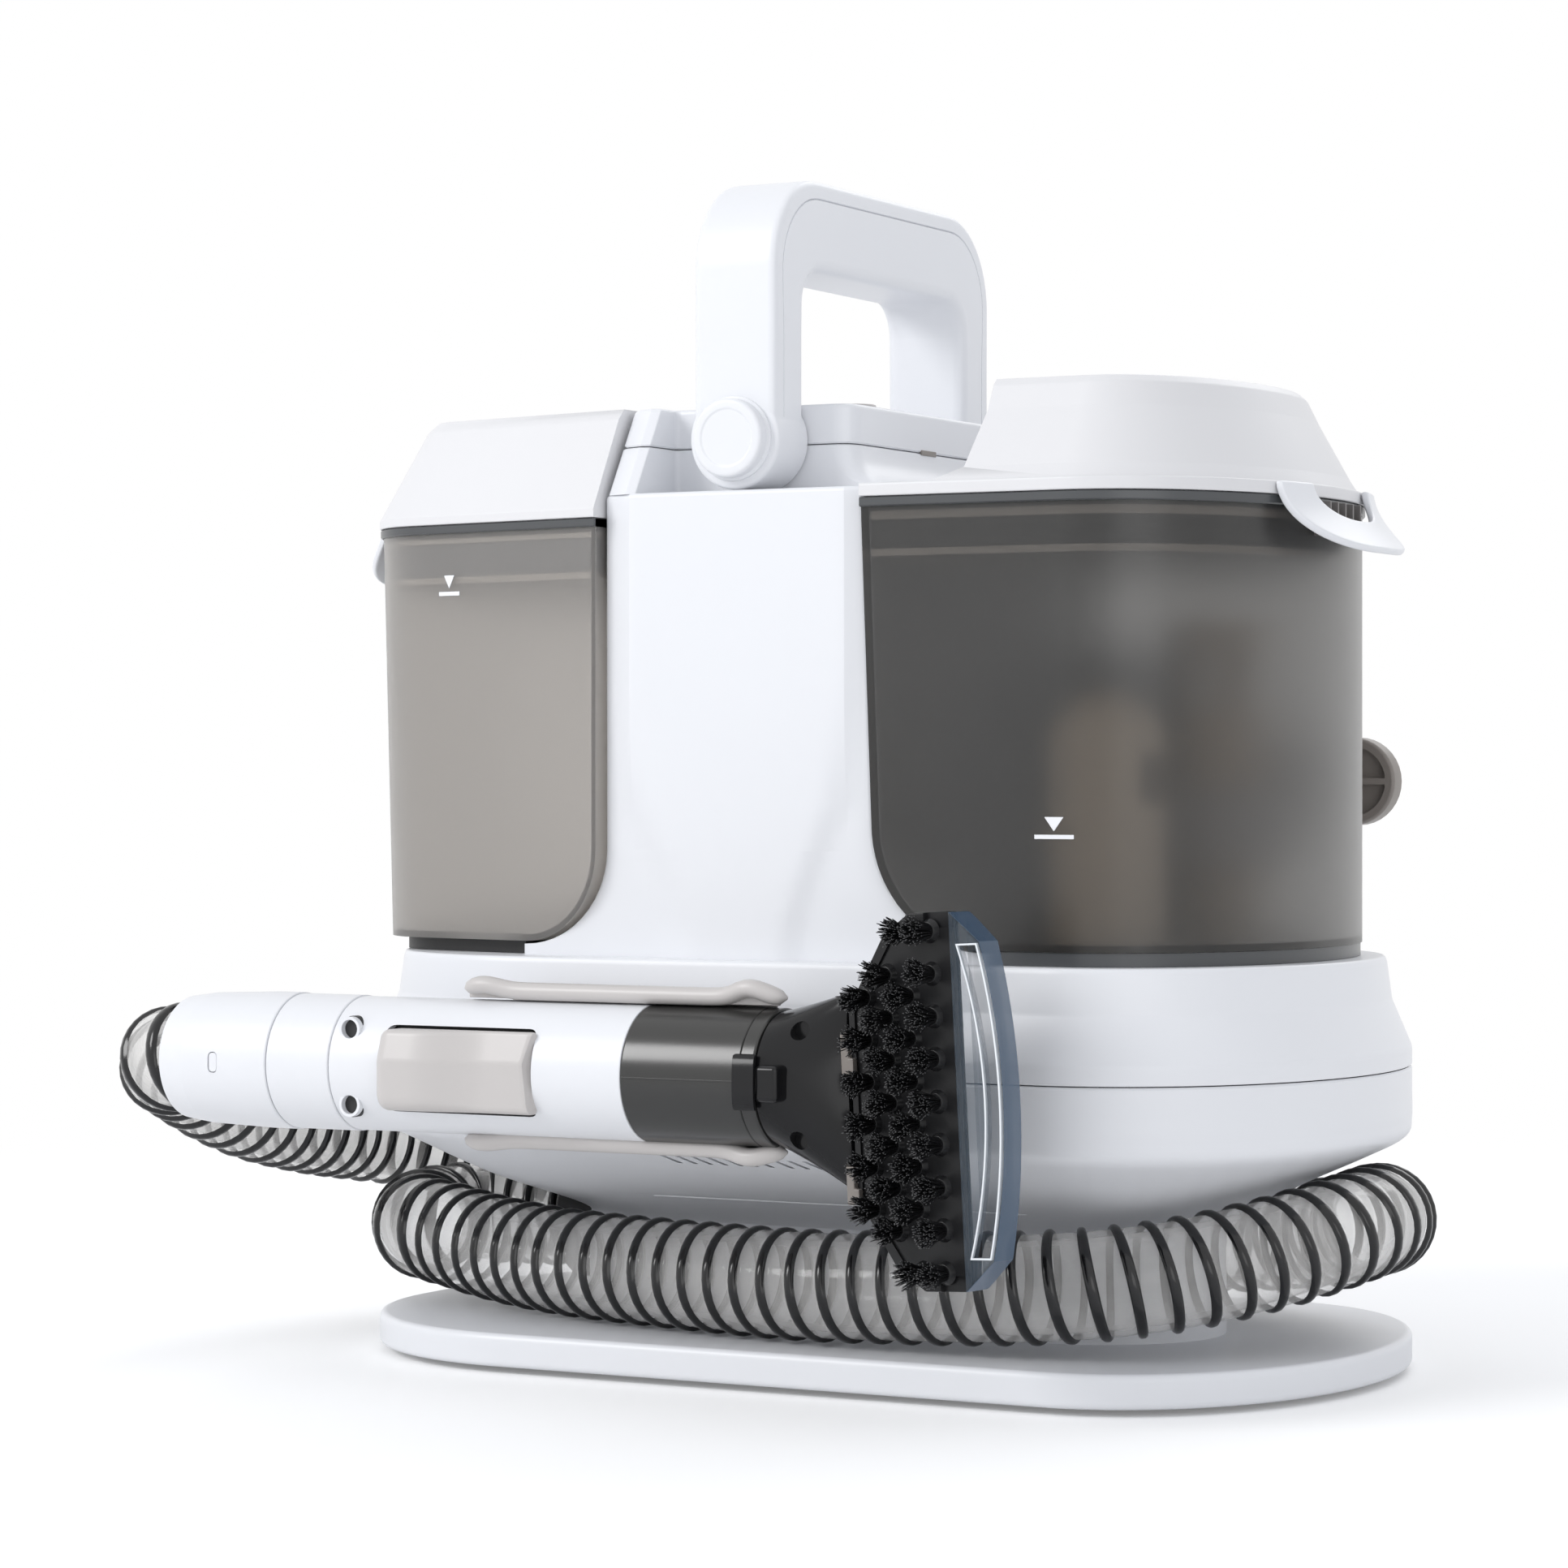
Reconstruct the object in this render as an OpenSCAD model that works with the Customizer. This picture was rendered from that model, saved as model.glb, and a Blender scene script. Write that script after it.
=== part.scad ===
// Portable spot extractor: a carpet and upholstery spotter with a clean tank,
// a recovery tank, a wrapped suction hose and a hand-held brush tool.
// Frame: origin under the middle of the base plate, +Z up, the brush side faces -Y.

/* [Base] */
// Length of the base plate, end to end
base_length = 320; // [314:1:330]
// Depth of the base plate, front to back
base_width = 190; // [186:1:196]
// Thickness of the base plate
base_thickness = 10; // [8:0.5:11]
// Height of the rubber feet
foot_height = 2; // [1.5:0.5:3]
// Diameter of the rubber feet
foot_diameter = 18; // [12:1:24]
// Length of the elliptical right end, from its widest point to its tip
nose_length = 66.5; // [62:0.5:72]
// Radius of the two left corners in plan
corner_radius = 76; // [70:1:82]

/* [Housing] */
// Height of the hose channel between base plate and skirt
channel_height = 55; // [54.5:0.5:58]
// Height of the skirt, up to the seam
skirt_height = 24.5; // [22:0.5:28]
// Height of the deck above the seam
deck_height = 32.5; // [31:0.5:36]
// How far the deck's top edge sits inside the skirt
deck_inset = 7.5; // [5:0.5:9]
// Wall of the moulded housings
housing_wall = 3; // [2.4:0.1:3.4]
// Length of the waist that the hose is wound round
waist_length = 208; // [200:1:212]
// Depth of the waist
waist_width = 76; // [74:1:80]
// Number of exhaust slots under the skirt
vent_count = 12; // [4:1:14]

/* [Column] */
// Width of the column between the tanks
column_width = 87; // [85:0.5:89]
// Depth of the column, front to back
column_depth = 158; // [155:1:160]
// Height of the control housing above the column's ledge
control_height = 26.5; // [24:0.5:27.5]
// Diameter of the power button
button_diameter = 11.5; // [9:0.5:14]
// Travel of the power button
button_travel = 1.5; // [1:0.1:2]

/* [Tanks] */
// Height of the recovery tank's body
tank_height = 130; // [126:1:140]
// Height of the feet under the tanks
tank_foot = 4; // [3:0.5:5]
// Wall of both tanks
tank_wall = 2; // [1.6:0.1:2.6]
// Length of the clean tank
clean_length = 96.5; // [92:0.5:98]
// Clearance between a tank and the column
tank_clearance = 0.8; // [0.5:0.1:1.2]
// Height of the clean tank's lid
clean_lid_height = 33.5; // [30:0.5:35]
// Height of the recovery lid's dome
dome_height = 30; // [26:0.5:31]
// Thickness of the recovery lid's flange
flange_thickness = 4; // [3:0.5:5]

/* [Carry handle] */
// Width of the handle
handle_width = 27.5; // [25:0.5:28.5]
// Height of the handle above its pivot
handle_height = 76; // [72:1:82]
// Thickness of each leg
leg_thickness = 19; // [16:0.5:20]
// Thickness of the grip bar
grip_bar_thickness = 27; // [22:0.5:28]
// Diameter of the pivot hubs
hub_diameter = 30; // [29:0.5:31]
// Diameter of the pivot pins
pivot_pin_diameter = 10; // [8:0.5:12]

/* [Hose] */
// Outer diameter of the hose over its ribs
hose_diameter = 33; // [32:0.5:33]
// Bore of the hose
hose_bore = 26.8; // [25:0.2:28]
// Distance from rib to rib
rib_pitch = 9.6; // [9:0.1:12]
// Depth of the ribs
rib_depth = 1.3; // [0.8:0.1:1.6]

/* [Handset] */
// Diameter of the grip
grip_diameter = 39.5; // [39:0.5:41]
// Wall of the grip shells
grip_wall = 2.5; // [2:0.1:2.8]
// Length of the trigger
trigger_length = 51; // [46:1:54]
// Height of the trigger
trigger_height = 23.5; // [20:0.5:25]
// Length of the dark collar
collar_length = 42.5; // [40:0.5:46]
// Diameter of the suction tube inside the grip
suction_diameter = 21; // [19:0.5:21]

/* [Brush tool] */
// Length of the brush head from its neck to the nozzle's edge
head_length = 61.5; // [60:0.5:68]
// Width of the brush head
head_width = 103; // [100:1:110]
// Angle of the head, turned to the brush side
head_angle = 12; // [8:1:14]
// Length of the bristle tufts
bristle_length = 9.5; // [6:0.5:11]
// Diameter of a tuft
tuft_diameter = 4.6; // [3.5:0.1:5]
// Distance between tufts across the head
tuft_pitch = 11.6; // [11:0.1:12]
// Distance between rows of tufts along the head
row_pitch = 8.3; // [7.5:0.1:8.3]
// Width of the suction slot
slot_width = 5.5; // [4.5:0.5:6]

/* [Hidden] */
$fn = 48;
eps = 0.01;

// Colours
white = [0.90, 0.91, 0.94];
warm_grey = [0.71, 0.69, 0.68];
taupe = [0.47, 0.44, 0.42];
dark = [0.10, 0.10, 0.11];
smoke = [0.24, 0.25, 0.26, 0.85];
mist = [0.52, 0.52, 0.53, 0.85];
clear_blue = [0.30, 0.40, 0.50, 0.70];
rubber = [0.13, 0.13, 0.14];
steel = [0.66, 0.67, 0.69];
pcb_green = [0.10, 0.35, 0.18];

// Heights, from the floor up
base_top = foot_height + base_thickness;
skirt_z = base_top + channel_height;
seam_z = skirt_z + skirt_height;
deck_z = seam_z + deck_height;
deck_under = deck_z - housing_wall;
tank_z = deck_z + tank_foot;
recovery_top = tank_z + tank_height;
clean_drop = 3.5;
clean_top = recovery_top - clean_drop;
ledge_z = recovery_top + 3.5;
control_z = ledge_z + control_height;
cover_height = 12;
cover_z = control_z - cover_height;
waist_floor = base_top + housing_wall;

// Plan outline
half_length = base_length / 2;
half_width = base_width / 2;
nose_x = half_length - nose_length;
nose_steps = 24;
corner_steps = 7;
skin_gap = 0.3;

function arc(centre, radius, from, to, steps) =
  [for (i = [0:steps]) let (a = from + (to - from) * i / steps)
    centre + radius * [cos(a), sin(a)]];

// Half an ellipse that bulges to +X
function nose(x, a, b, from = -90, to = 90, steps = nose_steps) =
  [for (i = [0:steps]) let (t = from + (to - from) * i / steps)
    [x + a * cos(t), b * sin(t)]];

function pebble(inset) = concat(
  nose(nose_x, nose_length - inset, half_width - inset),
  arc([corner_radius - half_length, half_width - corner_radius],
    corner_radius - inset, 90, 180, corner_steps),
  arc([corner_radius - half_length, corner_radius - half_width],
    corner_radius - inset, 180, 270, corner_steps));

// The waist is the outline drawn in along X and Y by different amounts
waist_x = 4;
function waist(inset) =
  [for (p = pebble(0)) [
    waist_x + p.x * (waist_length / 2 - inset) / half_length,
    p.y * (waist_width / 2 - inset) / half_width]];

function at(points, z) = [for (p = points) [p.x, p.y, z]];

// Closed solid through rings of equally many points, listed from the bottom up
module loft(rings) {
  n = len(rings[0]);
  top = len(rings) - 1;
  points = [for (ring = rings) each ring];
  sides = [for (k = [0:top - 1], i = [0:n - 1])
    let (a = k * n + i, b = k * n + (i + 1) % n)
      each [[a, a + n, b + n], [a, b + n, b]]];
  bottom_cap = [[for (i = [0:n - 1]) i]];
  top_cap = [[for (i = [n - 1:-1:0]) top * n + i]];
  polyhedron(points = points, faces = concat(bottom_cap, sides, top_cap));
}

module bar_x(x0, x1, d) {
  translate([x0, 0, 0])
    rotate([0, 90, 0])
      cylinder(d = d, h = x1 - x0);
}

module bar_y(y0, y1, d) {
  translate([0, y0, 0])
    rotate([-90, 0, 0])
      cylinder(d = d, h = y1 - y0);
}

module box(low, high) {
  translate(low)
    cube(high - low);
}

// Walls of a tube through equally many outer and inner rings, open at both ends
module tube_skin(outer, inner) {
  n = len(outer[0]);
  last = len(outer) - 1;
  j = (last + 1) * n;
  e = last * n;
  walls = [for (k = [0:last - 1], i = [0:n - 1])
    let (a = k * n + i, b = k * n + (i + 1) % n)
      each [[a, b, b + n], [a, b + n, a + n],
        [j + a, j + b + n, j + b], [j + a, j + a + n, j + b + n]]];
  ends = [for (i = [0:n - 1])
    let (a = i, b = (i + 1) % n)
      each [[a, j + b, b], [a, j + a, j + b],
        [e + a, e + b, j + e + b], [e + a, j + e + b, j + e + a]]];
  polyhedron(points = [for (ring = concat(outer, inner)) each ring], faces = concat(walls, ends));
}

function unit(v) = v / norm(v);
function ring(centre, ahead, radius, sides) =
  let (side = unit(cross(ahead, abs(ahead.z) > 0.9 ? [0, 1, 0] : [0, 0, 1])), up = cross(side, ahead))
  [for (k = [0:sides - 1]) let (a = 360 * (k + 0.5) / sides)
    centre + radius * (cos(a) * side + sin(a) * up)];

// Rings along a path with mitred corners
function mitred(path, last_ring, i = 1) =
  i == len(path) ? [last_ring]
  : let (ahead = unit(path[i] - path[i - 1]),
      next = i < len(path) - 1 ? unit(path[i + 1] - path[i]) : ahead,
      facing = ahead + next)
    concat([last_ring], mitred(path,
      [for (p = last_ring) p + ahead * ((path[i] - p) * facing) / (ahead * facing)], i + 1));

module pipe(path, d, bore, sides = 16) {
  ahead = unit(path[1] - path[0]);
  grow = 1 / cos(180 / sides);
  tube_skin(mitred(path, ring(path[0], ahead, d / 2, sides)),
    mitred(path, ring(path[0], ahead, bore / 2 * grow, sides)));
}

// ---------------------------------------------------------------- base

foot_inset = 22;
foot_x = half_length - 48;
foot_y = half_width - foot_inset;
foot_spots = [[-foot_x, -foot_y + 12], [-foot_x, foot_y - 12], [foot_x, -foot_y + 12],
  [foot_x, foot_y - 12], [0, 0]];
base_edge = 2.2;

module base_feet() {
  color(rubber)
    for (spot = foot_spots)
      translate([spot.x, spot.y, 0])
        cylinder(d = foot_diameter, h = foot_height);
}

module base_plate() {
  color(white)
    difference() {
      loft([
        at(pebble(base_edge), foot_height),
        at(pebble(base_edge * 0.3), foot_height + base_edge * 0.3),
        at(pebble(0), foot_height + base_edge),
        at(pebble(0), base_top - base_edge),
        at(pebble(base_edge * 0.3), base_top - base_edge * 0.3),
        at(pebble(base_edge), base_top)]);
      screw_holes(screw_shank + screw_fit);
      translate([0, 0, foot_height - eps])
        screw_heads(screw_head + 2 * screw_fit, head_height + eps);
    }
}

// Screws go up through the base plate into the floor of the waist
screw_shank = 4;
screw_head = 7.5;
head_height = 3;
screw_fit = 0.4;
screw_x = waist_length / 2 - 30;
screw_y = waist_width / 2 - 14;
screw_spots = [for (x = [-screw_x, screw_x], y = [-screw_y, screw_y]) [waist_x + x, y]];

module screw_holes(d) {
  for (spot = screw_spots)
    translate([spot.x, spot.y, 0])
      cylinder(d = d, h = waist_floor + 1);
}

module screw_heads(d, h) {
  for (spot = screw_spots)
    translate([spot.x, spot.y, 0])
      cylinder(d = d, h = h);
}

module base_screws() {
  color(steel) {
    translate([0, 0, foot_height])
      screw_heads(screw_head, head_height);
    for (spot = screw_spots)
      translate([spot.x, spot.y, foot_height + head_height])
        cylinder(d = screw_shank, h = waist_floor - foot_height - head_height);
  }
}

// ---------------------------------------------------------------- lower housing

skirt_under = 36;
skirt_round = 8;
waist_top = base_top + 30;
port_y = 12;
port_z = base_top + 24;
socket_wall = 2.4;
hose_fit = 0.5;
socket_bore = hose_diameter + 2 * hose_fit;
socket_diameter = socket_bore + 2 * socket_wall;
shoulder_x = -104;
socket_out = 12;
socket_in = 10;
rise_x = shoulder_x + 26;
vent_pitch = 5.1;
vent_length = 8;
vent_height = 1.4;
vent_x = -33;

module housing_skin(inset, floor_z, top_z) {
  loft([
    at(waist(inset), floor_z),
    at(waist(inset), waist_top + inset * 0.4),
    at(pebble(skirt_under + inset), skirt_z - 13 + inset * 0.6),
    at(pebble(skirt_round + inset), skirt_z + inset),
    at(pebble(skirt_round * 0.3 + inset), skirt_z + skirt_round * 0.3 + inset * 0.5),
    at(pebble(inset), skirt_z + skirt_round),
    at(pebble(inset), top_z)]);
}

module lower_housing() {
  color(white)
    difference() {
      housing_skin(0, base_top, seam_z - skin_gap / 2);
      housing_skin(housing_wall, waist_floor, seam_z + 1);
      screw_holes(screw_shank);
      translate([0, port_y, port_z])
        bar_x(shoulder_x - 30, shoulder_x + 30, socket_diameter);
      for (i = [0:vent_count - 1])
        translate([vent_x + i * vent_pitch, -half_width, skirt_z - vent_height])
          rotate([0, 20, 0])
            cube([vent_length * 0.5, vent_length * 2, vent_height]);
      translate([gland_x, 0, gland_z])
        bar_y(half_width - housing_wall - 1, half_width + 1, gland_diameter);
      translate([0, 0, clip_z])
        for (x = clip_screw_x)
          translate([x, 0, -clip_screw_drop])
            bar_y(-half_width - 1, -half_width + housing_wall + 1, clip_screw_diameter);
    }
}

// The hose plugs into this fitting against a shoulder
module hose_socket() {
  color(dark)
    translate([0, port_y, port_z])
      difference() {
        bar_x(shoulder_x - socket_out, shoulder_x + socket_in, socket_diameter - 2 * skin_gap);
        bar_x(shoulder_x - socket_out - 1, shoulder_x, socket_bore);
        bar_x(shoulder_x - 1, shoulder_x + socket_in + 1, duct_diameter);
      }
}

// ---------------------------------------------------------------- hose

// The grip lies along X in front of the skirt
handset_y = -half_width - 24;
handset_z = 93;
hose_end_x = -142;

// Route of the hose's centre line, from the socket to the cuff
hose_route = [
  [shoulder_x, port_y, port_z], [-121, 12, 36], [-138, 12, 36],
  [-149.3, 9, 36], [-157.5, 1, 36], [-160.5, -10.5, 35.5], [-157.5, -22, 35], [-149.3, -29.5, 34],
  [-138, -33, 33], [-120, -40, 31], [-95, -49, 29.5], [-64, -58, 29],
  [0, -70, 29], [35, -72, 30], [70, -71, 31.5], [97, -65.5, 33.5], [119, -52, 36.5],
  [137, -32, 41], [149, -10, 45.5], [152, 12, 47.5], [146, 33, 45.5], [130, 51, 41],
  [104, 65, 35.5], [70, 71, 32], [30, 73, 31], [-60, 72, 32], [-100, 69, 35],
  [-138, 61, 41.5], [-166, 46, 50], [-186, 24, 57], [-195, -2, 61.5],
  [-196, -30, 66], [-196, -60, 72.5], [-196, -82, 80], [-194.5, -98, 86.5],
  [-191.8, handset_y + 10.2, handset_z - 3], [-184.3, handset_y + 2.7, handset_z - 0.7],
  [-174, handset_y, handset_z], [-158, handset_y, handset_z], [hose_end_x, handset_y, handset_z]
];
route_steps = 8;
hose_sides = 8;

// Point on the Catmull-Rom curve through the route, s in route points
function along(r, s) =
  let (n = len(r) - 1, i = min(floor(s), n - 1), t = s - i,
    p = r[i], q = r[i + 1],
    m = i > 0 ? (q - r[i - 1]) / 2 : q - p,
    w = i < n - 1 ? (r[i + 2] - p) / 2 : q - p)
  p * (2 * t * t * t - 3 * t * t + 1) + m * (t * t * t - 2 * t * t + t)
    + q * (3 * t * t - 2 * t * t * t) + w * (t * t * t - t * t);

fine_route = [for (k = [0:(len(hose_route) - 1) * route_steps])
  along(hose_route, k / route_steps)];
function sums(p, i = 0, total = 0, out = []) =
  i == len(p) ? out
  : let (d = i == 0 ? 0 : norm(p[i] - p[i - 1]))
    sums(p, i + 1, total + d, concat(out, [total + d]));
route_at = sums(fine_route);
hose_length = route_at[len(route_at) - 1];
route_axis = [for (c = [0:2]) [for (i = [0:len(fine_route) - 1]) [route_at[i], fine_route[i][c]]]];
function hose_point(s) = [for (c = [0:2]) lookup(s, route_axis[c])];
function hose_heading(s) = unit(hose_point(min(s + 2, hose_length)) - hose_point(max(s - 2, 0)));

rib_count = round(hose_length / rib_pitch);
ring_count = 2 * rib_count;
corner_scale = 1 / cos(180 / hose_sides);
hose_stations = [for (k = [0:ring_count]) hose_length * k / ring_count];

module hose() {
  color(mist)
    tube_skin(
      [for (k = [0:ring_count]) let (s = hose_stations[k])
        ring(hose_point(s), hose_heading(s), hose_diameter / 2 - (k % 2 == 0 ? rib_depth : 0),
          hose_sides)],
      [for (s = hose_stations)
        ring(hose_point(s), hose_heading(s), hose_bore / 2 * corner_scale, hose_sides)]);
}

// Least gap between stretches of the hose that are not neighbours
gap_steps = [for (k = [0:60]) hose_point(hose_length * k / 60)];
hose_gap = min([for (i = [0:60], j = [0:60]) if (j - i > 4)
  norm(gap_steps[i] - gap_steps[j]) - hose_diameter]);
echo(hose_length = hose_length, ribs = rib_count, least_gap = hose_gap);

// ---------------------------------------------------------------- motor, fan, pump

motor_x = -12;
motor_diameter = 58;
motor_pad_height = 3;
fan_diameter = 100;
fan_wall = 2.5;
fan_z = skirt_z - 5;
fan_height = 28;
eye_diameter = 30;
shaft_diameter = 8;
shaft_fit = 0.05;
duct_diameter = 24;
duct_wall = 2;
duct_z = deck_under - duct_diameter / 2 - duct_wall - 1.2;
inlet_spot = [87, -33];
outlet_spot = [98, 26];
valve_spot = [-105, 0];

module motor_pad() {
  color(rubber)
    translate([motor_x, 0, waist_floor])
      cylinder(d = motor_diameter - 4, h = motor_pad_height);
}

module motor_can() {
  color(steel)
    translate([motor_x, 0, waist_floor + motor_pad_height])
      difference() {
        cylinder(d = motor_diameter, h = fan_z - waist_floor - motor_pad_height);
        translate([0, 0, fan_z - waist_floor - motor_pad_height - 20])
          cylinder(d = shaft_diameter + 2 * shaft_fit, h = 21);
      }
}

module fan_housing() {
  color(dark)
    translate([motor_x, 0, fan_z])
      difference() {
        cylinder(d = fan_diameter, h = fan_height);
        translate([0, 0, fan_wall])
          cylinder(d = fan_diameter - 2 * fan_wall, h = fan_height - 2 * fan_wall);
        translate([0, 0, -1])
          cylinder(d = shaft_diameter + 4, h = fan_wall + 2);
        translate([0, 0, fan_height - fan_wall - 1])
          cylinder(d = eye_diameter, h = fan_wall + 2);
        translate([-fan_diameter / 2 - 1, -fan_diameter / 2 + 6, fan_wall + 2])
          cube([30, 16, fan_height - 2 * fan_wall - 4]);
      }
}

module fan_rotor() {
  blades = 9;
  disc_z = fan_z + fan_wall + 3;
  color(white)
    translate([motor_x, 0, 0]) {
      translate([0, 0, fan_z - 18])
        cylinder(d = shaft_diameter, h = fan_wall + 23);
      translate([0, 0, disc_z])
        cylinder(d = fan_diameter - 2 * fan_wall - 8, h = 2);
      translate([0, 0, disc_z])
        cylinder(d = 20, h = 14);
      for (i = [0:blades - 1])
        rotate([0, 0, i * 360 / blades])
          translate([9, -1, disc_z + 1])
            cube([fan_diameter / 2 - fan_wall - 15, 2, 14]);
    }
}

module air_duct() {
  color(dark)
    pipe([[motor_x, 0, fan_z + fan_height], [motor_x, 0, duct_z],
      [motor_x + 30, outlet_spot.y - 4, duct_z], [outlet_spot.x, outlet_spot.y, duct_z],
      [outlet_spot.x, outlet_spot.y, deck_under - skin_gap]],
      duct_diameter + 2 * duct_wall, duct_diameter);
}

pump_x = [34, 84];
pump_diameter = 34;
pump_z = waist_floor + 4 + pump_diameter / 2;

module pump_body() {
  color(dark) {
    translate([0, 0, pump_z])
      bar_x(pump_x[0], pump_x[1], pump_diameter);
    box([pump_x[0] + 8, -12, waist_floor], [pump_x[1] - 8, 12, pump_z]);
    translate([0, 0, pump_z])
      bar_x(pump_x[1], pump_x[1] + 5, 12);
  }
}

small_tube = 6;
small_bore = 3.6;
supply_y = -66;
spray_y = -60;
feed_x = pump_x[0] + 24;

module supply_tube() {
  cup_bottom = deck_under - cup_depth;
  color(clear_blue)
    pipe([[valve_spot.x, valve_spot.y, cup_bottom], [valve_spot.x, valve_spot.y, cup_bottom - 8],
      [valve_spot.x + 20, supply_y, cup_bottom - 10], [feed_x, supply_y, cup_bottom - 10],
      [feed_x, 0, pump_z + pump_diameter / 2 + 12], [feed_x, 0, pump_z + pump_diameter / 2]],
      small_tube, small_bore, 8);
}

module spray_line() {
  outlet_x = pump_x[1] + 5;
  spray_z = seam_z - 6;
  duct_side = port_y - duct_diameter / 2 - duct_wall;
  color(clear_blue)
    pipe([[outlet_x, 0, pump_z], [outlet_x + 5, 0, pump_z], [outlet_x + 5, 0, skirt_z + 8],
      [outlet_x + 5, spray_y, spray_z], [rise_x + 4, spray_y, spray_z],
      [rise_x, duct_side - 26, spray_z - 22], [rise_x, duct_side - skin_gap, spray_z - 22]],
      small_tube, small_bore, 8);
}

module recovery_duct() {
  color(dark)
    pipe([[shoulder_x + socket_in, port_y, port_z], [rise_x, port_y, port_z],
      [rise_x, port_y, duct_z], [rise_x + 36, -48, duct_z], [inlet_spot.x - 26, -48, duct_z],
      [inlet_spot.x, inlet_spot.y, duct_z], [inlet_spot.x, inlet_spot.y, deck_under - skin_gap]],
      duct_diameter + 2 * duct_wall, duct_diameter);
}

cup_depth = 16;
cup_diameter = 24;
post_top = deck_under - 4;

module valve_cup() {
  color(dark)
    translate([valve_spot.x, valve_spot.y, deck_under - cup_depth]) {
      difference() {
        cylinder(d = cup_diameter, h = cup_depth);
        translate([0, 0, 2])
          cylinder(d = cup_diameter - 4, h = cup_depth);
        translate([0, 0, -1])
          cylinder(d = small_bore, h = 4);
      }
      for (a = [0, 90])
        rotate([0, 0, a])
          box([-cup_diameter / 2 + 1, -0.8, 2], [cup_diameter / 2 - 1, 0.8, 6]);
      translate([0, 0, 5])
        cylinder(d = 4, h = post_top - deck_under + cup_depth - 5);
    }
}

// ---------------------------------------------------------------- deck

motor_opening = 40;
seat_bore = 17;
seat_diameter = 26;
seat_lip = 6;
flange_height = 2.4;
gland_x = 34;
gland_z = seam_z - 8.4;
gland_bore = 7;
gland_diameter = 11;
gland_flange = 15;

module deck_skin(inset, low, high) {
  loft([
    at(pebble(inset), low),
    at(pebble(inset), seam_z + 5.5),
    at(pebble(deck_inset * 0.8 + inset), deck_z - 13),
    at(pebble(deck_inset + inset), min(deck_z - 3, high - 1)),
    at(pebble(deck_inset + 1 + inset), min(deck_z - 0.8, high - 0.5)),
    at(pebble(deck_inset + 3 + inset), high)]);
}

module deck_housing() {
  color(white)
    difference() {
      deck_skin(0, seam_z + skin_gap / 2, deck_z);
      deck_skin(housing_wall, seam_z - 1, deck_under);
      translate([column_x, 0, deck_under - 1])
        cylinder(d = motor_opening, h = housing_wall + 2);
      for (spot = [valve_spot, inlet_spot, outlet_spot])
        translate([spot.x, spot.y, deck_under - 1])
          cylinder(d = seat_diameter + 0.1, h = housing_wall + 2);
    }
}

module cord_gland() {
  color(dark)
    translate([gland_x, 0, gland_z])
      difference() {
        union() {
          bar_y(half_width - housing_wall - 2, half_width + 2, gland_diameter - 0.1);
          bar_y(half_width, half_width + 2, gland_flange);
          bar_y(half_width - housing_wall - 2, half_width - housing_wall, gland_flange);
        }
        bar_y(half_width - housing_wall - 3, half_width + 3, gland_bore);
      }
}

// A rubber ring in the deck that a tank's neck pushes into
module seat(spot) {
  translate([spot.x, spot.y, deck_under])
    difference() {
      union() {
        cylinder(d = seat_diameter, h = housing_wall + flange_height);
        translate([0, 0, housing_wall])
          cylinder(d = seat_diameter + seat_lip, h = flange_height);
      }
      translate([0, 0, -1])
        cylinder(d = seat_bore, h = housing_wall + flange_height + 2);
    }
}

module clean_seat() {
  color(rubber)
    seat(valve_spot);
}

module recovery_seats() {
  color(rubber) {
    seat(inlet_spot);
    seat(outlet_spot);
  }
}

// ---------------------------------------------------------------- column

column_x = -14;
column_left = column_x - column_width / 2;
column_right = column_x + column_width / 2;
column_front_y = -column_depth / 2;
left_flare = 28;
right_flare = 36;
right_lean = 3.5;
panel_chamfer = 10.5;
chamfer_depth = 3.5;

// Front view of the column, grown by g on its sides; it widens into the deck
function column_view(g, low, high) = concat(
  [[column_right + g, high], [column_left - g, high]],
  arc([column_left - tank_clearance - left_flare, tank_z + left_flare],
    left_flare + tank_clearance - g, 0, -80, 10),
  [[column_left - left_flare - tank_clearance, low]],
  [[column_right + right_lean + right_flare + tank_clearance, low]],
  arc([column_right + tank_clearance + right_lean + right_flare, tank_z + right_flare],
    right_flare + tank_clearance - g, 260, 180, 10));

module column_block(g, low, high, front, back) {
  translate([0, back, 0])
    rotate([90, 0, 0])
      linear_extrude(back - front)
        polygon(column_view(g, low, high));
}

// Plan of the front face: flat in the middle, drawn back at both edges
module column_plan() {
  chamfer_left = column_left + panel_chamfer;
  chamfer_right = column_right - panel_chamfer * 0.5;
  reach = column_depth;
  linear_extrude(control_z)
    polygon([
      [-reach, column_front_y + chamfer_depth], [column_left, column_front_y + chamfer_depth],
      [chamfer_left, column_front_y], [chamfer_right, column_front_y],
      [column_right, column_front_y + chamfer_depth * 0.6],
      [reach, column_front_y + chamfer_depth * 0.6],
      [reach, column_depth / 2], [-reach, column_depth / 2]]);
}

module column_shell(front, back) {
  intersection() {
    column_block(0, deck_z, ledge_z, front, back);
    column_plan();
  }
}

module column_front() {
  color(white)
    difference() {
      column_shell(column_front_y, -skin_gap / 2);
      column_block(-housing_wall, deck_z - 1, ledge_z - housing_wall,
        column_front_y + chamfer_depth + housing_wall, 1);
      box([column_x - 20, -40, ledge_z - housing_wall - 1], [column_x + 20, 1, ledge_z + 1]);
    }
  color(white)
    for (x = board_x, z = board_z)
      translate([x, 0, z])
        bar_y(column_front_y + chamfer_depth + housing_wall - 0.5, board_y, 6);
}

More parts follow.
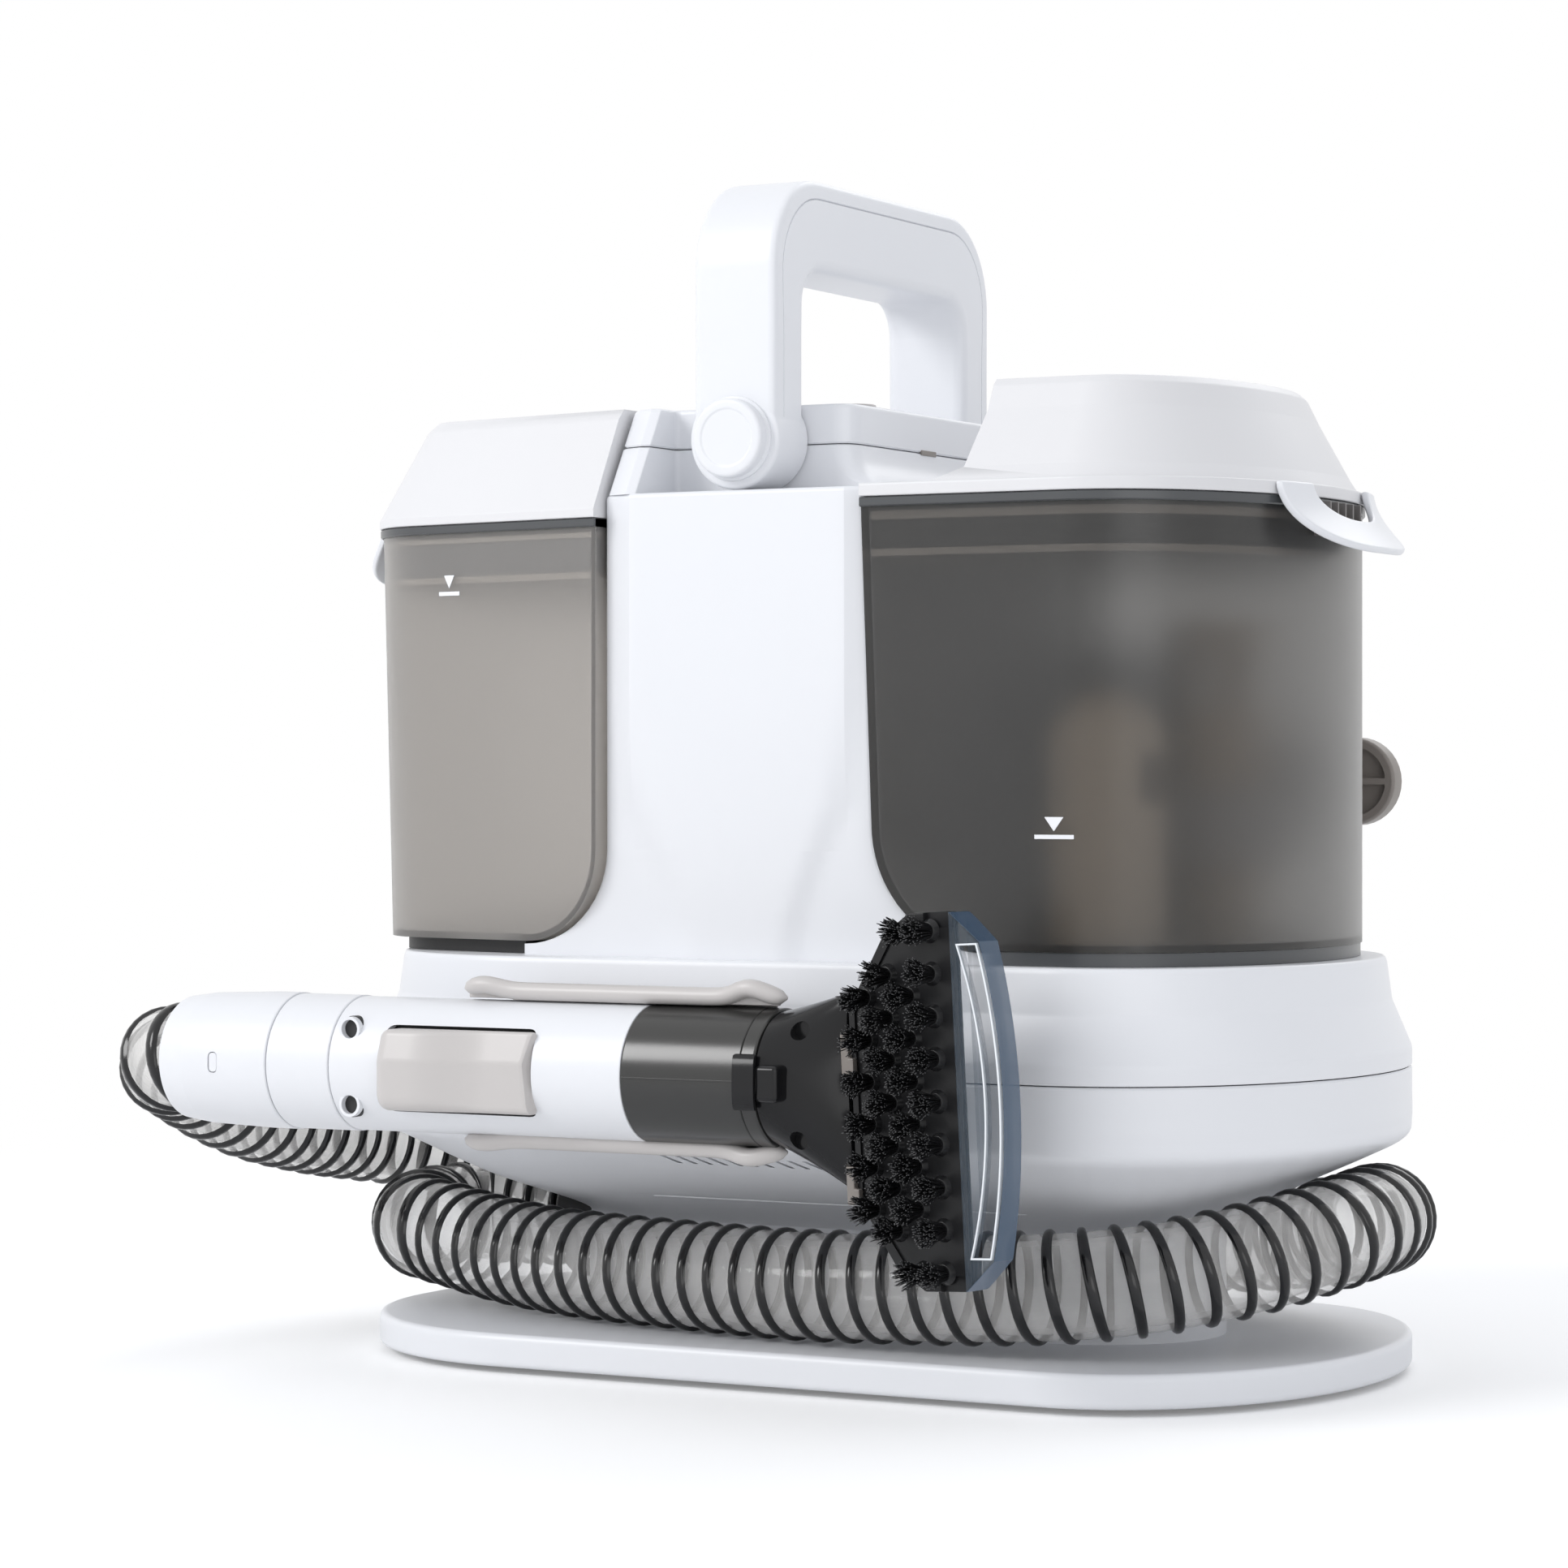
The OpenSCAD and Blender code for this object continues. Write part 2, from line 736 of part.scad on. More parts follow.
module column_rear() {
  color(white)
    difference() {
      column_shell(skin_gap / 2, column_depth / 2);
      column_block(-housing_wall, deck_z - 1, ledge_z - housing_wall,
        -1, column_depth / 2 - housing_wall);
      box([column_x - 20, -1, ledge_z - housing_wall - 1], [column_x + 20, 40, ledge_z + 1]);
    }
}

// Upright panel behind the tanks, which carries the hooks
panel_gap = 3.4;
panel_thickness = 4;
panel_width = 150;
panel_top = tank_z + 92;
panel_y = column_depth / 2;

module rear_panel() {
  color(white)
    difference() {
      union() {
        box([-panel_width / 2, panel_y + panel_gap, deck_z],
          [panel_width / 2, panel_y + panel_gap + panel_thickness, panel_top]);
        box([column_left + 6, panel_y, deck_z],
          [column_right - 6, panel_y + panel_gap + 1, panel_top]);
      }
      for (side = [-1, 1])
        translate([side * hook_x, 0, hook_z])
          bar_y(panel_y, panel_y + panel_gap + panel_thickness + 1, hook_peg);
    }
}

hook_x = 62;
hook_z = tank_z + 48;
hook_height = 28;
hook_peg = 8;
hook_reach = 30;
hook_span = 59.5;
hook_thickness = 4;

module cord_hook() {
  root = panel_y + panel_gap + panel_thickness;
  tip = root + hook_reach;
  flange_end = hook_x + hook_span - hook_height / 2;
  translate([hook_x, 0, hook_z])
    bar_y(root - panel_thickness, root + 1, hook_peg - 0.1);
  box([hook_x - 5, root, hook_z - hook_height / 2 + 3], [hook_x + 5, tip, hook_z + hook_height / 2 - 3]);
  difference() {
    union() {
      box([hook_x - 8, tip - hook_thickness, hook_z - hook_height / 2],
        [flange_end, tip + hook_thickness, hook_z + hook_height / 2]);
      translate([flange_end, 0, hook_z])
        bar_y(tip - hook_thickness, tip + hook_thickness, hook_height);
    }
    for (side = [-1, 1])
      hull()
        for (x = [hook_x + 14, flange_end - 1])
          translate([x, 0, hook_z + side * hook_height * 0.21])
            bar_y(tip - hook_thickness - 1, tip + 1, hook_height * 0.26);
  }
}

module cord_hooks() {
  color(taupe) {
    cord_hook();
    mirror([1, 0, 0])
      cord_hook();
  }
}

board_x = [column_x - 24, column_x + 24];
board_z = [ledge_z - 75, ledge_z - 20];
board_y = column_front_y + 14;
board_thickness = 1.6;

module circuit_board() {
  color(pcb_green)
    box([board_x[0] - 5, board_y, board_z[0] - 5],
      [board_x[1] + 5, board_y + board_thickness, board_z[1] + 5]);
  color(dark)
    for (z = [board_z[0] + 8, board_z[0] + 34])
      box([column_x - 14, board_y + board_thickness, z],
        [column_x + 12, board_y + board_thickness + 11, z + 16]);
}

// ---------------------------------------------------------------- control housing

handle_span = column_depth - 12.8;
control_front = -handle_span / 2 + leg_thickness + 0.6;
control_right = column_right - 16;
control_flare = 12;

// Front edge of the cheeks, which slope back with the lids
function cheek_y(z) = column_depth / 2 - 0.5 - (z - ledge_z) * 0.6;
function cheek_plan(side, z) =
  let (left = column_left + 1, right = left + panel_chamfer - 0.5, y = cheek_y(z))
  [for (p = [[left, -control_front - 1], [right, -control_front - 1], [right, y], [left, y - panel_chamfer / 3]])
    [p.x, side * p.y]];

module cheeks(low, high)
  for (side = [-1, 1])
    hull()
      for (z = [low, high - 0.01])
        translate([0, 0, z])
          linear_extrude(0.01)
            polygon(cheek_plan(side, z));

module control_block(points, front) {
  translate([0, -front, 0])
    rotate([90, 0, 0])
      linear_extrude(-2 * front)
        polygon(points);
}

module control_housing() {
  flare = arc([control_right + control_flare, cover_z - skin_gap / 2], control_flare, 180, 270, 8);
  color(white)
    difference() {
      union() {
        control_block(concat([[column_left + 1, ledge_z]], [[column_left + 1, cover_z - skin_gap / 2]],
          flare, [[column_right - 1, cover_z - control_flare - skin_gap / 2], [column_right - 1, ledge_z]]),
          control_front);
        cheeks(ledge_z, cover_z - skin_gap / 2);
      }
      box([column_left + 1 + housing_wall, control_front + housing_wall, ledge_z - 1],
        [control_right - housing_wall, -control_front - housing_wall, cover_z + 1]);
    }
}

button_spot = [control_right - 11, control_front + 25];
button_fit = 0.3;
button_proud = 1.5;

module control_cover() {
  color(white)
    difference() {
      union() {
        control_block([[column_left + 1, cover_z + skin_gap / 2], [column_left + 1, control_z - 2],
          [column_left + 3, control_z], [control_right - 3, control_z],
          [control_right, control_z - 3], [control_right, cover_z + skin_gap / 2]], control_front);
        cheeks(cover_z + skin_gap / 2, control_z - 1);
      }
      box([column_left + 1 + housing_wall, control_front + housing_wall, cover_z - 1],
        [control_right - housing_wall, -control_front - housing_wall, control_z - housing_wall]);
      translate([button_spot.x, button_spot.y, control_z - housing_wall - 1])
        cylinder(d = button_diameter + 2 * button_fit, h = housing_wall + 2);
    }
  color(white)
    for (side = [-1, 1])
      box([button_spot.x - 6, button_spot.y + side * 11 - 1, control_z - 14],
        [button_spot.x + 6, button_spot.y + side * 11 + 1, control_z - housing_wall + 0.5]);
}

module switch_body() {
  color(dark)
    difference() {
      box([button_spot.x - 6, button_spot.y - 10, control_z - 18],
        [button_spot.x + 6, button_spot.y + 10, control_z - 10]);
      box([button_spot.x - 7, button_spot.y - 10.5, control_z - 14],
        [button_spot.x + 7, button_spot.y - 9.5, control_z - 9]);
      box([button_spot.x - 7, button_spot.y + 9.5, control_z - 14],
        [button_spot.x + 7, button_spot.y + 10.5, control_z - 9]);
    }
}

module power_button() {
  color(warm_grey)
    translate([button_spot.x, button_spot.y, 0]) {
      translate([0, 0, control_z - 5])
        cylinder(d = button_diameter, h = 5 + button_proud);
      translate([0, 0, control_z - 6])
        cylinder(d = button_diameter + 4, h = 6 - housing_wall - 0.3);
      translate([0, 0, control_z - 10 + button_travel + 0.3])
        cylinder(d = 5, h = 5);
    }
}

// ---------------------------------------------------------------- carry handle

pivot_z = ledge_z + hub_diameter / 2 + 0.5;
pivot_x = column_x - 1.3;
handle_corner = 28;
inner_corner = 11;
cap_proud = 5;
cap_diameter = hub_diameter - 6.7;
pin_fit = 0.05;

module rounded(width, low, high, radius) {
  hull()
    for (side = [-1, 1]) {
      translate([side * (width / 2 - radius), high - radius])
        circle(r = radius);
      translate([side * (width / 2 - 0.5), low + 0.5])
        square(1, center = true);
    }
}

module pivot_pins() {
  color(steel)
    for (side = [0, 1])
      mirror([0, side, 0])
        translate([pivot_x, 0, pivot_z])
          bar_y(control_front - leg_thickness + 5, control_front, pivot_pin_diameter);
}

module handle_frame() {
  outer_r = handle_corner;
  span = handle_span / 2;
  top = pivot_z + handle_height;
  color(white)
    difference() {
      union() {
        translate([pivot_x - handle_width / 2, 0, 0])
          rotate([90, 0, 90])
            linear_extrude(handle_width)
              difference() {
                rounded(handle_span, pivot_z, top, outer_r);
                rounded(handle_span - 2 * leg_thickness, pivot_z - 1,
                  top - grip_bar_thickness, inner_corner);
              }
        for (side = [0, 1])
          mirror([0, side, 0])
            translate([pivot_x, 0, pivot_z])
              bar_y(-span, -span + leg_thickness, hub_diameter);
      }
      for (side = [0, 1])
        mirror([0, side, 0])
          translate([pivot_x, 0, pivot_z])
            bar_y(-span + 4, -span + leg_thickness + 1, pivot_pin_diameter + 2 * pin_fit);
    }
}

module handle_caps() {
  color(white)
    for (side = [0, 1])
      mirror([0, side, 0])
        translate([pivot_x, 0, pivot_z])
          difference() {
            bar_y(-handle_span / 2 - cap_proud, -handle_span / 2, cap_diameter);
            difference() {
              bar_y(-handle_span / 2 - cap_proud - 1, -handle_span / 2 - cap_proud + 1, cap_diameter + 1);
              bar_y(-handle_span / 2 - cap_proud - 2, -handle_span / 2, cap_diameter - 2);
            }
          }
}

// ---------------------------------------------------------------- clean tank

clean_right = column_left - tank_clearance;
clean_left = clean_right - clean_length;
clean_corner = 34;
clean_draft = 3.5;
clean_slope = 12;
clean_front = column_depth / 2 + 1;
corner_y = clean_front - clean_length * 0.3 * sin(clean_slope)
  - (clean_length - clean_corner) * tan(clean_slope) * 0.75 - clean_corner + 2;

// Plan of the clean tank: flat against the column, rounded at its left end
function clean_plan(inset, out = 0) =
  let (x = clean_left + clean_corner, r = clean_corner - inset,
    right = clean_right - max(inset, 0) + min(max(-inset, 0), tank_clearance / 2),
    shift = [-out, 0], front = clean_front - inset)
  concat(
    [[right, -front], [right, front]],
    [for (p = arc([x, corner_y], r, 90 + clean_slope, 180, 6)) p + shift],
    [for (p = arc([x, -corner_y], r, 180, 270 - clean_slope, 6)) p + shift]);

module clean_body(inset, low, high) {
  intersection() {
    loft([at(clean_plan(inset), low), at(clean_plan(inset, clean_draft), high)]);
    translate([0, half_width, 0])
      rotate([90, 0, 0])
        linear_extrude(base_width)
          polygon(concat(
            [[clean_right - inset, high + 1], [clean_left - 20, high + 1], [clean_left - 20, low - 1]],
            [[clean_right - left_flare, low - 1]],
            arc([clean_right - left_flare, tank_z + left_flare], left_flare - inset, -90, 0, 12)));
  }
}

foot_rim = 2;

module clean_tank() {
  neck = seat_bore - 1;
  color(mist)
    difference() {
      union() {
        clean_body(0, tank_z, clean_top);
        intersection() {
          loft([at(clean_plan(5), deck_z), at(clean_plan(5), tank_z + 1)]);
          box([clean_left, -half_width, deck_z], [clean_right - left_flare, half_width, tank_z + 1]);
        }
      }
      clean_body(tank_wall, tank_z + tank_wall, clean_top + 1);
      intersection() {
        loft([at(clean_plan(5 + foot_rim), deck_z - 1), at(clean_plan(5 + foot_rim), tank_z)]);
        box([clean_left, -half_width, deck_z - 1],
          [clean_right - left_flare - foot_rim, half_width, tank_z]);
      }
      translate([valve_spot.x, valve_spot.y, tank_z - 1])
        cylinder(d = neck, h = tank_wall + 2);
    }
}

plunger_diameter = 8;

module clean_valve() {
  neck = seat_bore - 1;
  color(dark)
    translate([valve_spot.x, valve_spot.y, 0])
      difference() {
        union() {
          translate([0, 0, deck_under + 1])
            cylinder(d = neck - 0.2, h = tank_z + tank_wall - deck_under);
          translate([0, 0, tank_z + tank_wall])
            cylinder(d = neck + 6, h = 3);
        }
        translate([0, 0, deck_under - 1])
          cylinder(d = plunger_diameter + 2 * shaft_fit, h = 40);
      }
}

module valve_plunger() {
  color(steel)
    translate([valve_spot.x, valve_spot.y, 0]) {
      translate([0, 0, post_top + 0.3])
        cylinder(d = plunger_diameter, h = tank_z + tank_wall + 5 - post_top);
      translate([0, 0, tank_z + tank_wall + 3 + 0.3])
        cylinder(d = 13, h = 3);
    }
}

lid_overhang = 1.2;
lid_seat = 0.2;

module clean_lid() {
  low = clean_top + lid_seat;
  top = clean_top + clean_lid_height;
  slope = 17;
  color(white) {
    difference() {
      loft([
        at(clean_plan(-lid_overhang, clean_draft), low),
        at(clean_plan(-lid_overhang, clean_draft), low + 2.5),
        at(clean_lid_plan(slope * 0.82, clean_draft), top - 3),
        at(clean_lid_plan(slope, clean_draft), top)]);
      loft([
        at(clean_plan(8, clean_draft), low - 1),
        at(clean_lid_plan(slope + 5, clean_draft), top - housing_wall - 1)]);
      translate([latch_left_x, 0, latch_z - clean_drop])
        bar_y(-latch_half - 0.4, latch_half + 0.4, 2 * knuckle + 1);
    }
    latch_ears(-1, clean_left - clean_draft, latch_left_x, latch_z - clean_drop);
  }
}

function clean_lid_plan(inset, out) =
  let (side = clean_plan(inset, out))
  [for (i = [0:len(side) - 1]) i < 2 ? [clean_right, side[i].y] : side[i]];

seal_height = 4;

module clean_seal() {
  color(rubber)
    difference() {
      loft([at(clean_plan(tank_wall + 0.3, clean_draft * 0.9), clean_top - seal_height),
        at(clean_plan(tank_wall + 0.3, clean_draft), clean_top + lid_seat)]);
      loft([at(clean_plan(8, clean_draft), clean_top - seal_height - 1),
        at(clean_plan(8, clean_draft), clean_top + 1)]);
    }
}

// ---------------------------------------------------------------- recovery tank

recovery_left = column_right + tank_clearance;
recovery_inset = half_width - column_depth / 2 - 1;

function recovery_plan(inset, left = 0) =
  let (b = half_width - recovery_inset - inset, x = recovery_left + left + max(inset, 0))
  concat(
    nose(nose_x, nose_length - recovery_inset - inset, b),
    [[x, b], [x, -b]]);

module recovery_body(inset, low, high) {
  flare_x = recovery_left + right_lean + right_flare;
  intersection() {
    linear_extrude(high)
      polygon(recovery_plan(inset));
    translate([0, half_width, 0])
      rotate([90, 0, 0])
        linear_extrude(base_width)
          polygon(concat(
            [[half_length, low], [half_length, high], [recovery_left + inset, high],
              [recovery_left + inset + right_lean, tank_z + right_flare + 12]],
            arc([flare_x, tank_z + right_flare], right_flare - inset, 180, 270, 12)));
  }
}

module recovery_tank() {
  color(smoke)
    difference() {
      union() {
        recovery_body(0, tank_z, recovery_top);
        recovery_foot(5, deck_z, tank_z + 1);
      }
      recovery_body(tank_wall, tank_z + tank_wall, recovery_top + 1);
      recovery_foot(5 + foot_rim, deck_z - 1, tank_z);
      for (spot = [inlet_spot, outlet_spot])
        translate([spot.x, spot.y, deck_z - 1])
          cylinder(d = seat_diameter + seat_lip + 1, h = tank_foot + 1);
      for (spot = [inlet_spot, outlet_spot])
        translate([spot.x, spot.y, tank_z - 1])
          cylinder(d = seat_bore - 1, h = tank_wall + 2);
    }
}

module recovery_foot(inset, low, high) {
  b = half_width - recovery_inset - inset;
  translate([0, 0, low])
    linear_extrude(high - low)
      polygon(concat(nose(nose_x, nose_length - recovery_inset - inset, b),
        [[recovery_left + right_flare + right_lean + inset, b],
          [recovery_left + right_flare + right_lean + inset, -b]]));
}

pipe_height = 73;
pipe_diameter = 34;

neck = seat_bore - 1.2;

// Dirty water rises in this pipe and leaves at the window in its side
module standpipe() {
  low = tank_z + tank_wall;
  round_z = low + pipe_height - pipe_diameter / 2;
  color(mist)
    translate([inlet_spot.x, inlet_spot.y, 0])
      difference() {
        union() {
          translate([0, 0, deck_under + 1])
            cylinder(d = neck, h = low - deck_under);
          translate([0, 0, low])
            cylinder(d = pipe_diameter, h = round_z - low);
          translate([0, 0, round_z])
            sphere(d = pipe_diameter);
        }
        translate([0, 0, deck_under])
          cylinder(d = neck - 4, h = 20);
        translate([0, 0, low + 6])
          cylinder(d = pipe_diameter - 4, h = round_z - low - 6);
        box([0, -9, round_z - 16], [pipe_diameter, 9, round_z - 2]);
      }
}

air_diameter = 26;
air_height = 92;
window_height = 18;
window_z = tank_z + tank_wall + air_height - window_height - 6;
float_diameter = 42;
float_height = 22;
float_z = window_z - 46;
float_fit = 0.4;

// Air leaves the tank through the windows under this pipe's closed top
module air_pipe() {
  low = tank_z + tank_wall;
  color(dark)
    translate([outlet_spot.x, outlet_spot.y, 0])
      difference() {
        union() {
          translate([0, 0, deck_under + 1])
            cylinder(d = neck, h = low - deck_under);
          translate([0, 0, low])
            cylinder(d = air_diameter, h = air_height);
          translate([0, 0, float_z - 2.3])
            cylinder(d = air_diameter + 8, h = 2);
          translate([0, 0, low + air_height])
            cylinder(d = air_diameter + 6, h = 2);
        }
        translate([0, 0, deck_under])
          cylinder(d = neck - 4, h = 20);
        translate([0, 0, low + 6])
          cylinder(d = air_diameter - 4, h = air_height - 8);
        for (a = [0, 90])
          rotate([0, 0, a])
            box([-air_diameter, -7, window_z], [air_diameter, 7, window_z + window_height]);
      }
}

// Float that rides up the air pipe and shuts its windows when the tank is full
module float_sleeve() {
  color(warm_grey)
    translate([outlet_spot.x, outlet_spot.y, float_z])
      difference() {
        cylinder(d = float_diameter, h = float_height);
        translate([0, 0, -1])
          cylinder(d = air_diameter + 2 * float_fit, h = float_height + 2);
      }
}

function dome_plan(inset, left) =
  let (b = half_width - recovery_inset - inset)
  concat(nose(nose_x, nose_length - recovery_inset - inset, b), [[left, b], [left, -b]]);

dome_left = recovery_left + 29.5;

module recovery_lid() {
  low = recovery_top + lid_seat;
  top_of_flange = recovery_top + flange_thickness;
  top = top_of_flange + dome_height;
  color(white) {
    difference() {
      union() {
        translate([0, 0, low])
          linear_extrude(top_of_flange - low)
            polygon(recovery_plan(-lid_overhang));
        loft([
          at(dome_plan(1, dome_left - 6), top_of_flange - 0.5),
          at(dome_plan(3.5, dome_left - 1.5), top_of_flange + 4),
          at(dome_plan(13, dome_left + 2), top - 9),
          at(dome_plan(16.5, dome_left + 3.5), top - 2),
          at(dome_plan(18.5, dome_left + 5), top)]);
      }
      loft([
        at(dome_plan(8, dome_left + 4), low - 1),
        at(dome_plan(8, dome_left + 4), top_of_flange + 2),
        at(dome_plan(21, dome_left + 9), top - housing_wall)]);
      translate([latch_right_x, 0, latch_z])
        bar_y(-latch_half - 0.4, latch_half + 0.4, 2 * knuckle + 1);
    }
    latch_ears(1, half_length - recovery_inset, latch_right_x, latch_z);
  }
}

module recovery_seal() {
  color(rubber)
    difference() {
      translate([0, 0, recovery_top - seal_height])
        linear_extrude(seal_height + lid_seat)
          polygon(recovery_plan(tank_wall + 0.3));
      translate([0, 0, recovery_top - seal_height - 1])
        linear_extrude(seal_height + 2)
          polygon(recovery_plan(8));
    }
}

// ---------------------------------------------------------------- lid latches

knuckle = 2.4;
latch_pin = 2.4;
latch_half = 30;
latch_z = recovery_top + 2.6;
latch_right_x = half_length - recovery_inset + 4.6;
latch_left_x = clean_left - clean_draft - 4.6;
latch_drop = 19;
latch_flare = 11;
latch_wall = 2.4;
finger_half = 17;

// Side view of a latch that hangs from its pin and flares at its lip
module latch(side, x, z) {
  color(white)
    translate([x, 0, z])
      difference() {
        union() {
          bar_y(-latch_half, latch_half, 2 * knuckle);
          translate([0, latch_half, 0])
            rotate([90, 0, 0])
              linear_extrude(2 * latch_half)
                polygon([for (p = [[-1.2, 0], [1.2, 0], [1.5, -8], [latch_flare, -latch_drop],
                  [latch_flare - latch_wall, -latch_drop - 1.2], [-1, -9]]) [side * p.x, p.y]]);
        }
        bar_y(-latch_half - 1, latch_half + 1, latch_pin + 2 * pin_fit);
        box([-20, -finger_half, -8.5], [20, finger_half, 4]);
      }
}

// Ears on a lid, and the pin between them
module latch_ears(side, wall_x, x, z) {
  out = x + side * knuckle;
  root = wall_x - side * 6;
  for (y = [-latch_half - 4, latch_half + 0.6])
    box([min(out, root), y, z - knuckle], [max(out, root), y + 3.4, z + 1.2]);
  translate([x, 0, z])
    bar_y(-latch_half - 1, latch_half + 1, latch_pin);
}

module clean_latch() {
  latch(-1, latch_left_x, latch_z - clean_drop);
}

module recovery_latch() {
  latch(1, latch_right_x, latch_z);
}

// ---------------------------------------------------------------- handset

cuff_end = -175.8;
ring_end = -136;
grip_start = -114;
collar_start = -15.5;
collar_end = collar_start + collar_length;
cuff_bore = hose_diameter + 2 * hose_fit;
cuff_mouth = cuff_bore + 2 * 1.9;
suction_y = 5.4;
seam = 0.1;

module on_grip() {
  translate([0, handset_y, handset_z])
    children();
}

module hose_cuff() {
  color(white)
    on_grip()
      difference() {
        rotate([0, 90, 0])
          rotate_extrude()
            polygon([[0, cuff_end], [cuff_mouth / 2, cuff_end], [cuff_mouth / 2 + 0.7, cuff_end + 10],
              [grip_diameter / 2 + 0.6, ring_end - 8], [grip_diameter / 2 + 0.6, ring_end - seam],
              [0, ring_end - seam]]);
        bar_x(cuff_end - 1, hose_end_x, cuff_bore);
        bar_x(hose_end_x - 1, ring_end + 1, duct_diameter);
        translate([-155, 0, 0])
          bar_y(-grip_diameter, -cuff_bore / 2 - 0.8, 4);
      }
}

module swivel_ring() {
  color(white)
    on_grip()
      difference() {
        bar_x(ring_end, grip_start - seam, grip_diameter + 0.6);
        bar_x(ring_end - 1, grip_start - 4, duct_diameter);
        translate([0, suction_y, 0])
          bar_x(grip_start - 5, grip_start + 1, suction_diameter - 3);
      }
}

module suction_tube() {
  color(mist)
    on_grip()
      translate([0, suction_y, 0])
        difference() {
          bar_x(grip_start, collar_start, suction_diameter);
          bar_x(grip_start - 1, collar_start + 1, suction_diameter - 3);
        }
}

trigger_right = -44;
trigger_left = trigger_right - trigger_length;
trigger_fit = 0.8;
hinge_x = trigger_right - 5;
hinge_y = -grip_diameter / 2 + 4.2;
hinge_pin = 3;
screw_x_grip = grip_start + 6;
screw_spread = 11;

module grip_tube() {
  difference() {
    bar_x(grip_start, collar_start - seam, grip_diameter);
    bar_x(grip_start + 2.5, collar_start - 2.5, grip_diameter - 2 * grip_wall);
    translate([0, suction_y, 0])
      bar_x(grip_start - 1, collar_start + 1, suction_diameter + 0.2);
  }
}

module grip_front() {
  color(white)
    on_grip()
      difference() {
        union() {
          intersection() {
            grip_tube();
            box([grip_start - 1, -grip_diameter, -grip_diameter],
              [collar_start + 1, -seam / 2, grip_diameter]);
          }
          for (side = [-1, 1])
            translate([0, 0, side * (trigger_height / 2 - 2.6)])
              box([hinge_x - 3.5, hinge_y - 1, -1.4],
                [hinge_x + 8, -suction_diameter / 2 + suction_y - 0.5, 1.4]);
        }
        difference() {
          box([trigger_left - trigger_fit, -grip_diameter, -trigger_height / 2 - trigger_fit],
            [trigger_right + trigger_fit, -grip_diameter / 2 + grip_wall + 5.4,
              trigger_height / 2 + trigger_fit]);
          for (side = [-1, 1])
            translate([0, 0, side * (trigger_height / 2 - 2.6)])
              box([hinge_x - 3.5, hinge_y - 1.6, -1.4], [hinge_x + 9, 0, 1.4]);
        }
        translate([hinge_x, hinge_y, -trigger_height])
          cylinder(d = hinge_pin + 2 * pin_fit, h = 2 * trigger_height);
        for (side = [-1, 1])
          translate([screw_x_grip, 0, side * screw_spread])
            bar_y(-grip_diameter, -3, 4);
      }
}

module grip_back() {
  color(white)
    on_grip()
      intersection() {
        grip_tube();
        box([grip_start - 1, seam / 2, -grip_diameter], [collar_start + 1, grip_diameter, grip_diameter]);
      }
}

// Valve behind the trigger's free end
module spray_valve() {
  color(dark)
    on_grip()
      difference() {
        union() {
          box([trigger_left + 2, -suction_diameter / 2 + suction_y - 5.5, -6],
            [trigger_left + 18, -suction_diameter / 2 + suction_y + 1, 6]);
          translate([trigger_left + 8, 0, 0])
            bar_y(-suction_diameter / 2 + suction_y - 7.5, -suction_diameter / 2 + suction_y - 5, 5);
        }
        translate([0, suction_y, 0])
          bar_x(trigger_left, trigger_left + 20, suction_diameter + 0.1);
      }
}

module trigger() {
  lug = trigger_height / 2 - 4.6;
  front = -grip_diameter / 2;
  color(warm_grey)
    on_grip()
      difference() {
        union() {
          translate([0, 0, -trigger_height / 2])
            linear_extrude(trigger_height)
              polygon([[trigger_left, front + 2.6], [trigger_left, front - 5.4],
                [trigger_left + 2, front - 6.8], [trigger_left + 14, front - 6.2],
                [trigger_right - 16, front - 2.2], [trigger_right - 2, front - 1.2],
                [trigger_right, front - 0.2], [trigger_right, front + 1.6]]);
          box([hinge_x - 3, front + 1, -lug], [hinge_x + 3, hinge_y, lug]);
          translate([hinge_x, hinge_y, -lug])
            cylinder(r = 2.9, h = 2 * lug);
        }
        translate([hinge_x, hinge_y, -trigger_height])
          cylinder(d = hinge_pin + 2 * pin_fit, h = 2 * trigger_height);
        for (side = [-1, 1])
          translate([0, 0, side * (trigger_height / 2 - 2.6)])
            box([hinge_x - 5, hinge_y - 2.6, -1.9], [hinge_x + 12, 0, 1.9]);
      }
}

module trigger_pin() {
  color(steel)
    on_grip()
      translate([hinge_x, hinge_y, -trigger_height / 2 + 0.8])
        cylinder(d = hinge_pin, h = trigger_height - 1.6);
}

collar_bore = 27;
spigot_fit = 0.05;
spigot_length = 16;

module collar() {
  color(dark)
    on_grip()
      difference() {
        union() {
          bar_x(collar_start, collar_end, grip_diameter);
          translate([collar_end - 4, 0, 0])
            difference() {
              box([0, -grip_diameter / 2 - 3.4, -8], [4, 0, 8]);
              box([-1, -grip_diameter / 2 - 1.2, -5.5], [5, -grip_diameter / 2 + 1, 5.5]);
            }
        }
        translate([0, suction_y, 0])
          bar_x(collar_start - 1, collar_start + 6, suction_diameter - 3);
        bar_x(collar_start + 5, collar_end + 1, collar_bore);
      }
}

// ---------------------------------------------------------------- brush tool

neck_x = 44;
face_y = handset_y - 7;
head_drop = 4;
head_thickness = 13;
plate_thickness = 2.5;
plate_start = 8.5;
plate_end = 41;
head_z = handset_z - head_drop;

// Frame of the head: +X along it, -Y out of the brush face
module on_head() {
  translate([neck_x, face_y, head_z])
    rotate([0, 0, -head_angle])
      children();
}

module head_slab(points, front, back) {
  translate([0, back, 0])
    rotate([90, 0, 0])
      linear_extrude(back - front)
        polygon(points);
}

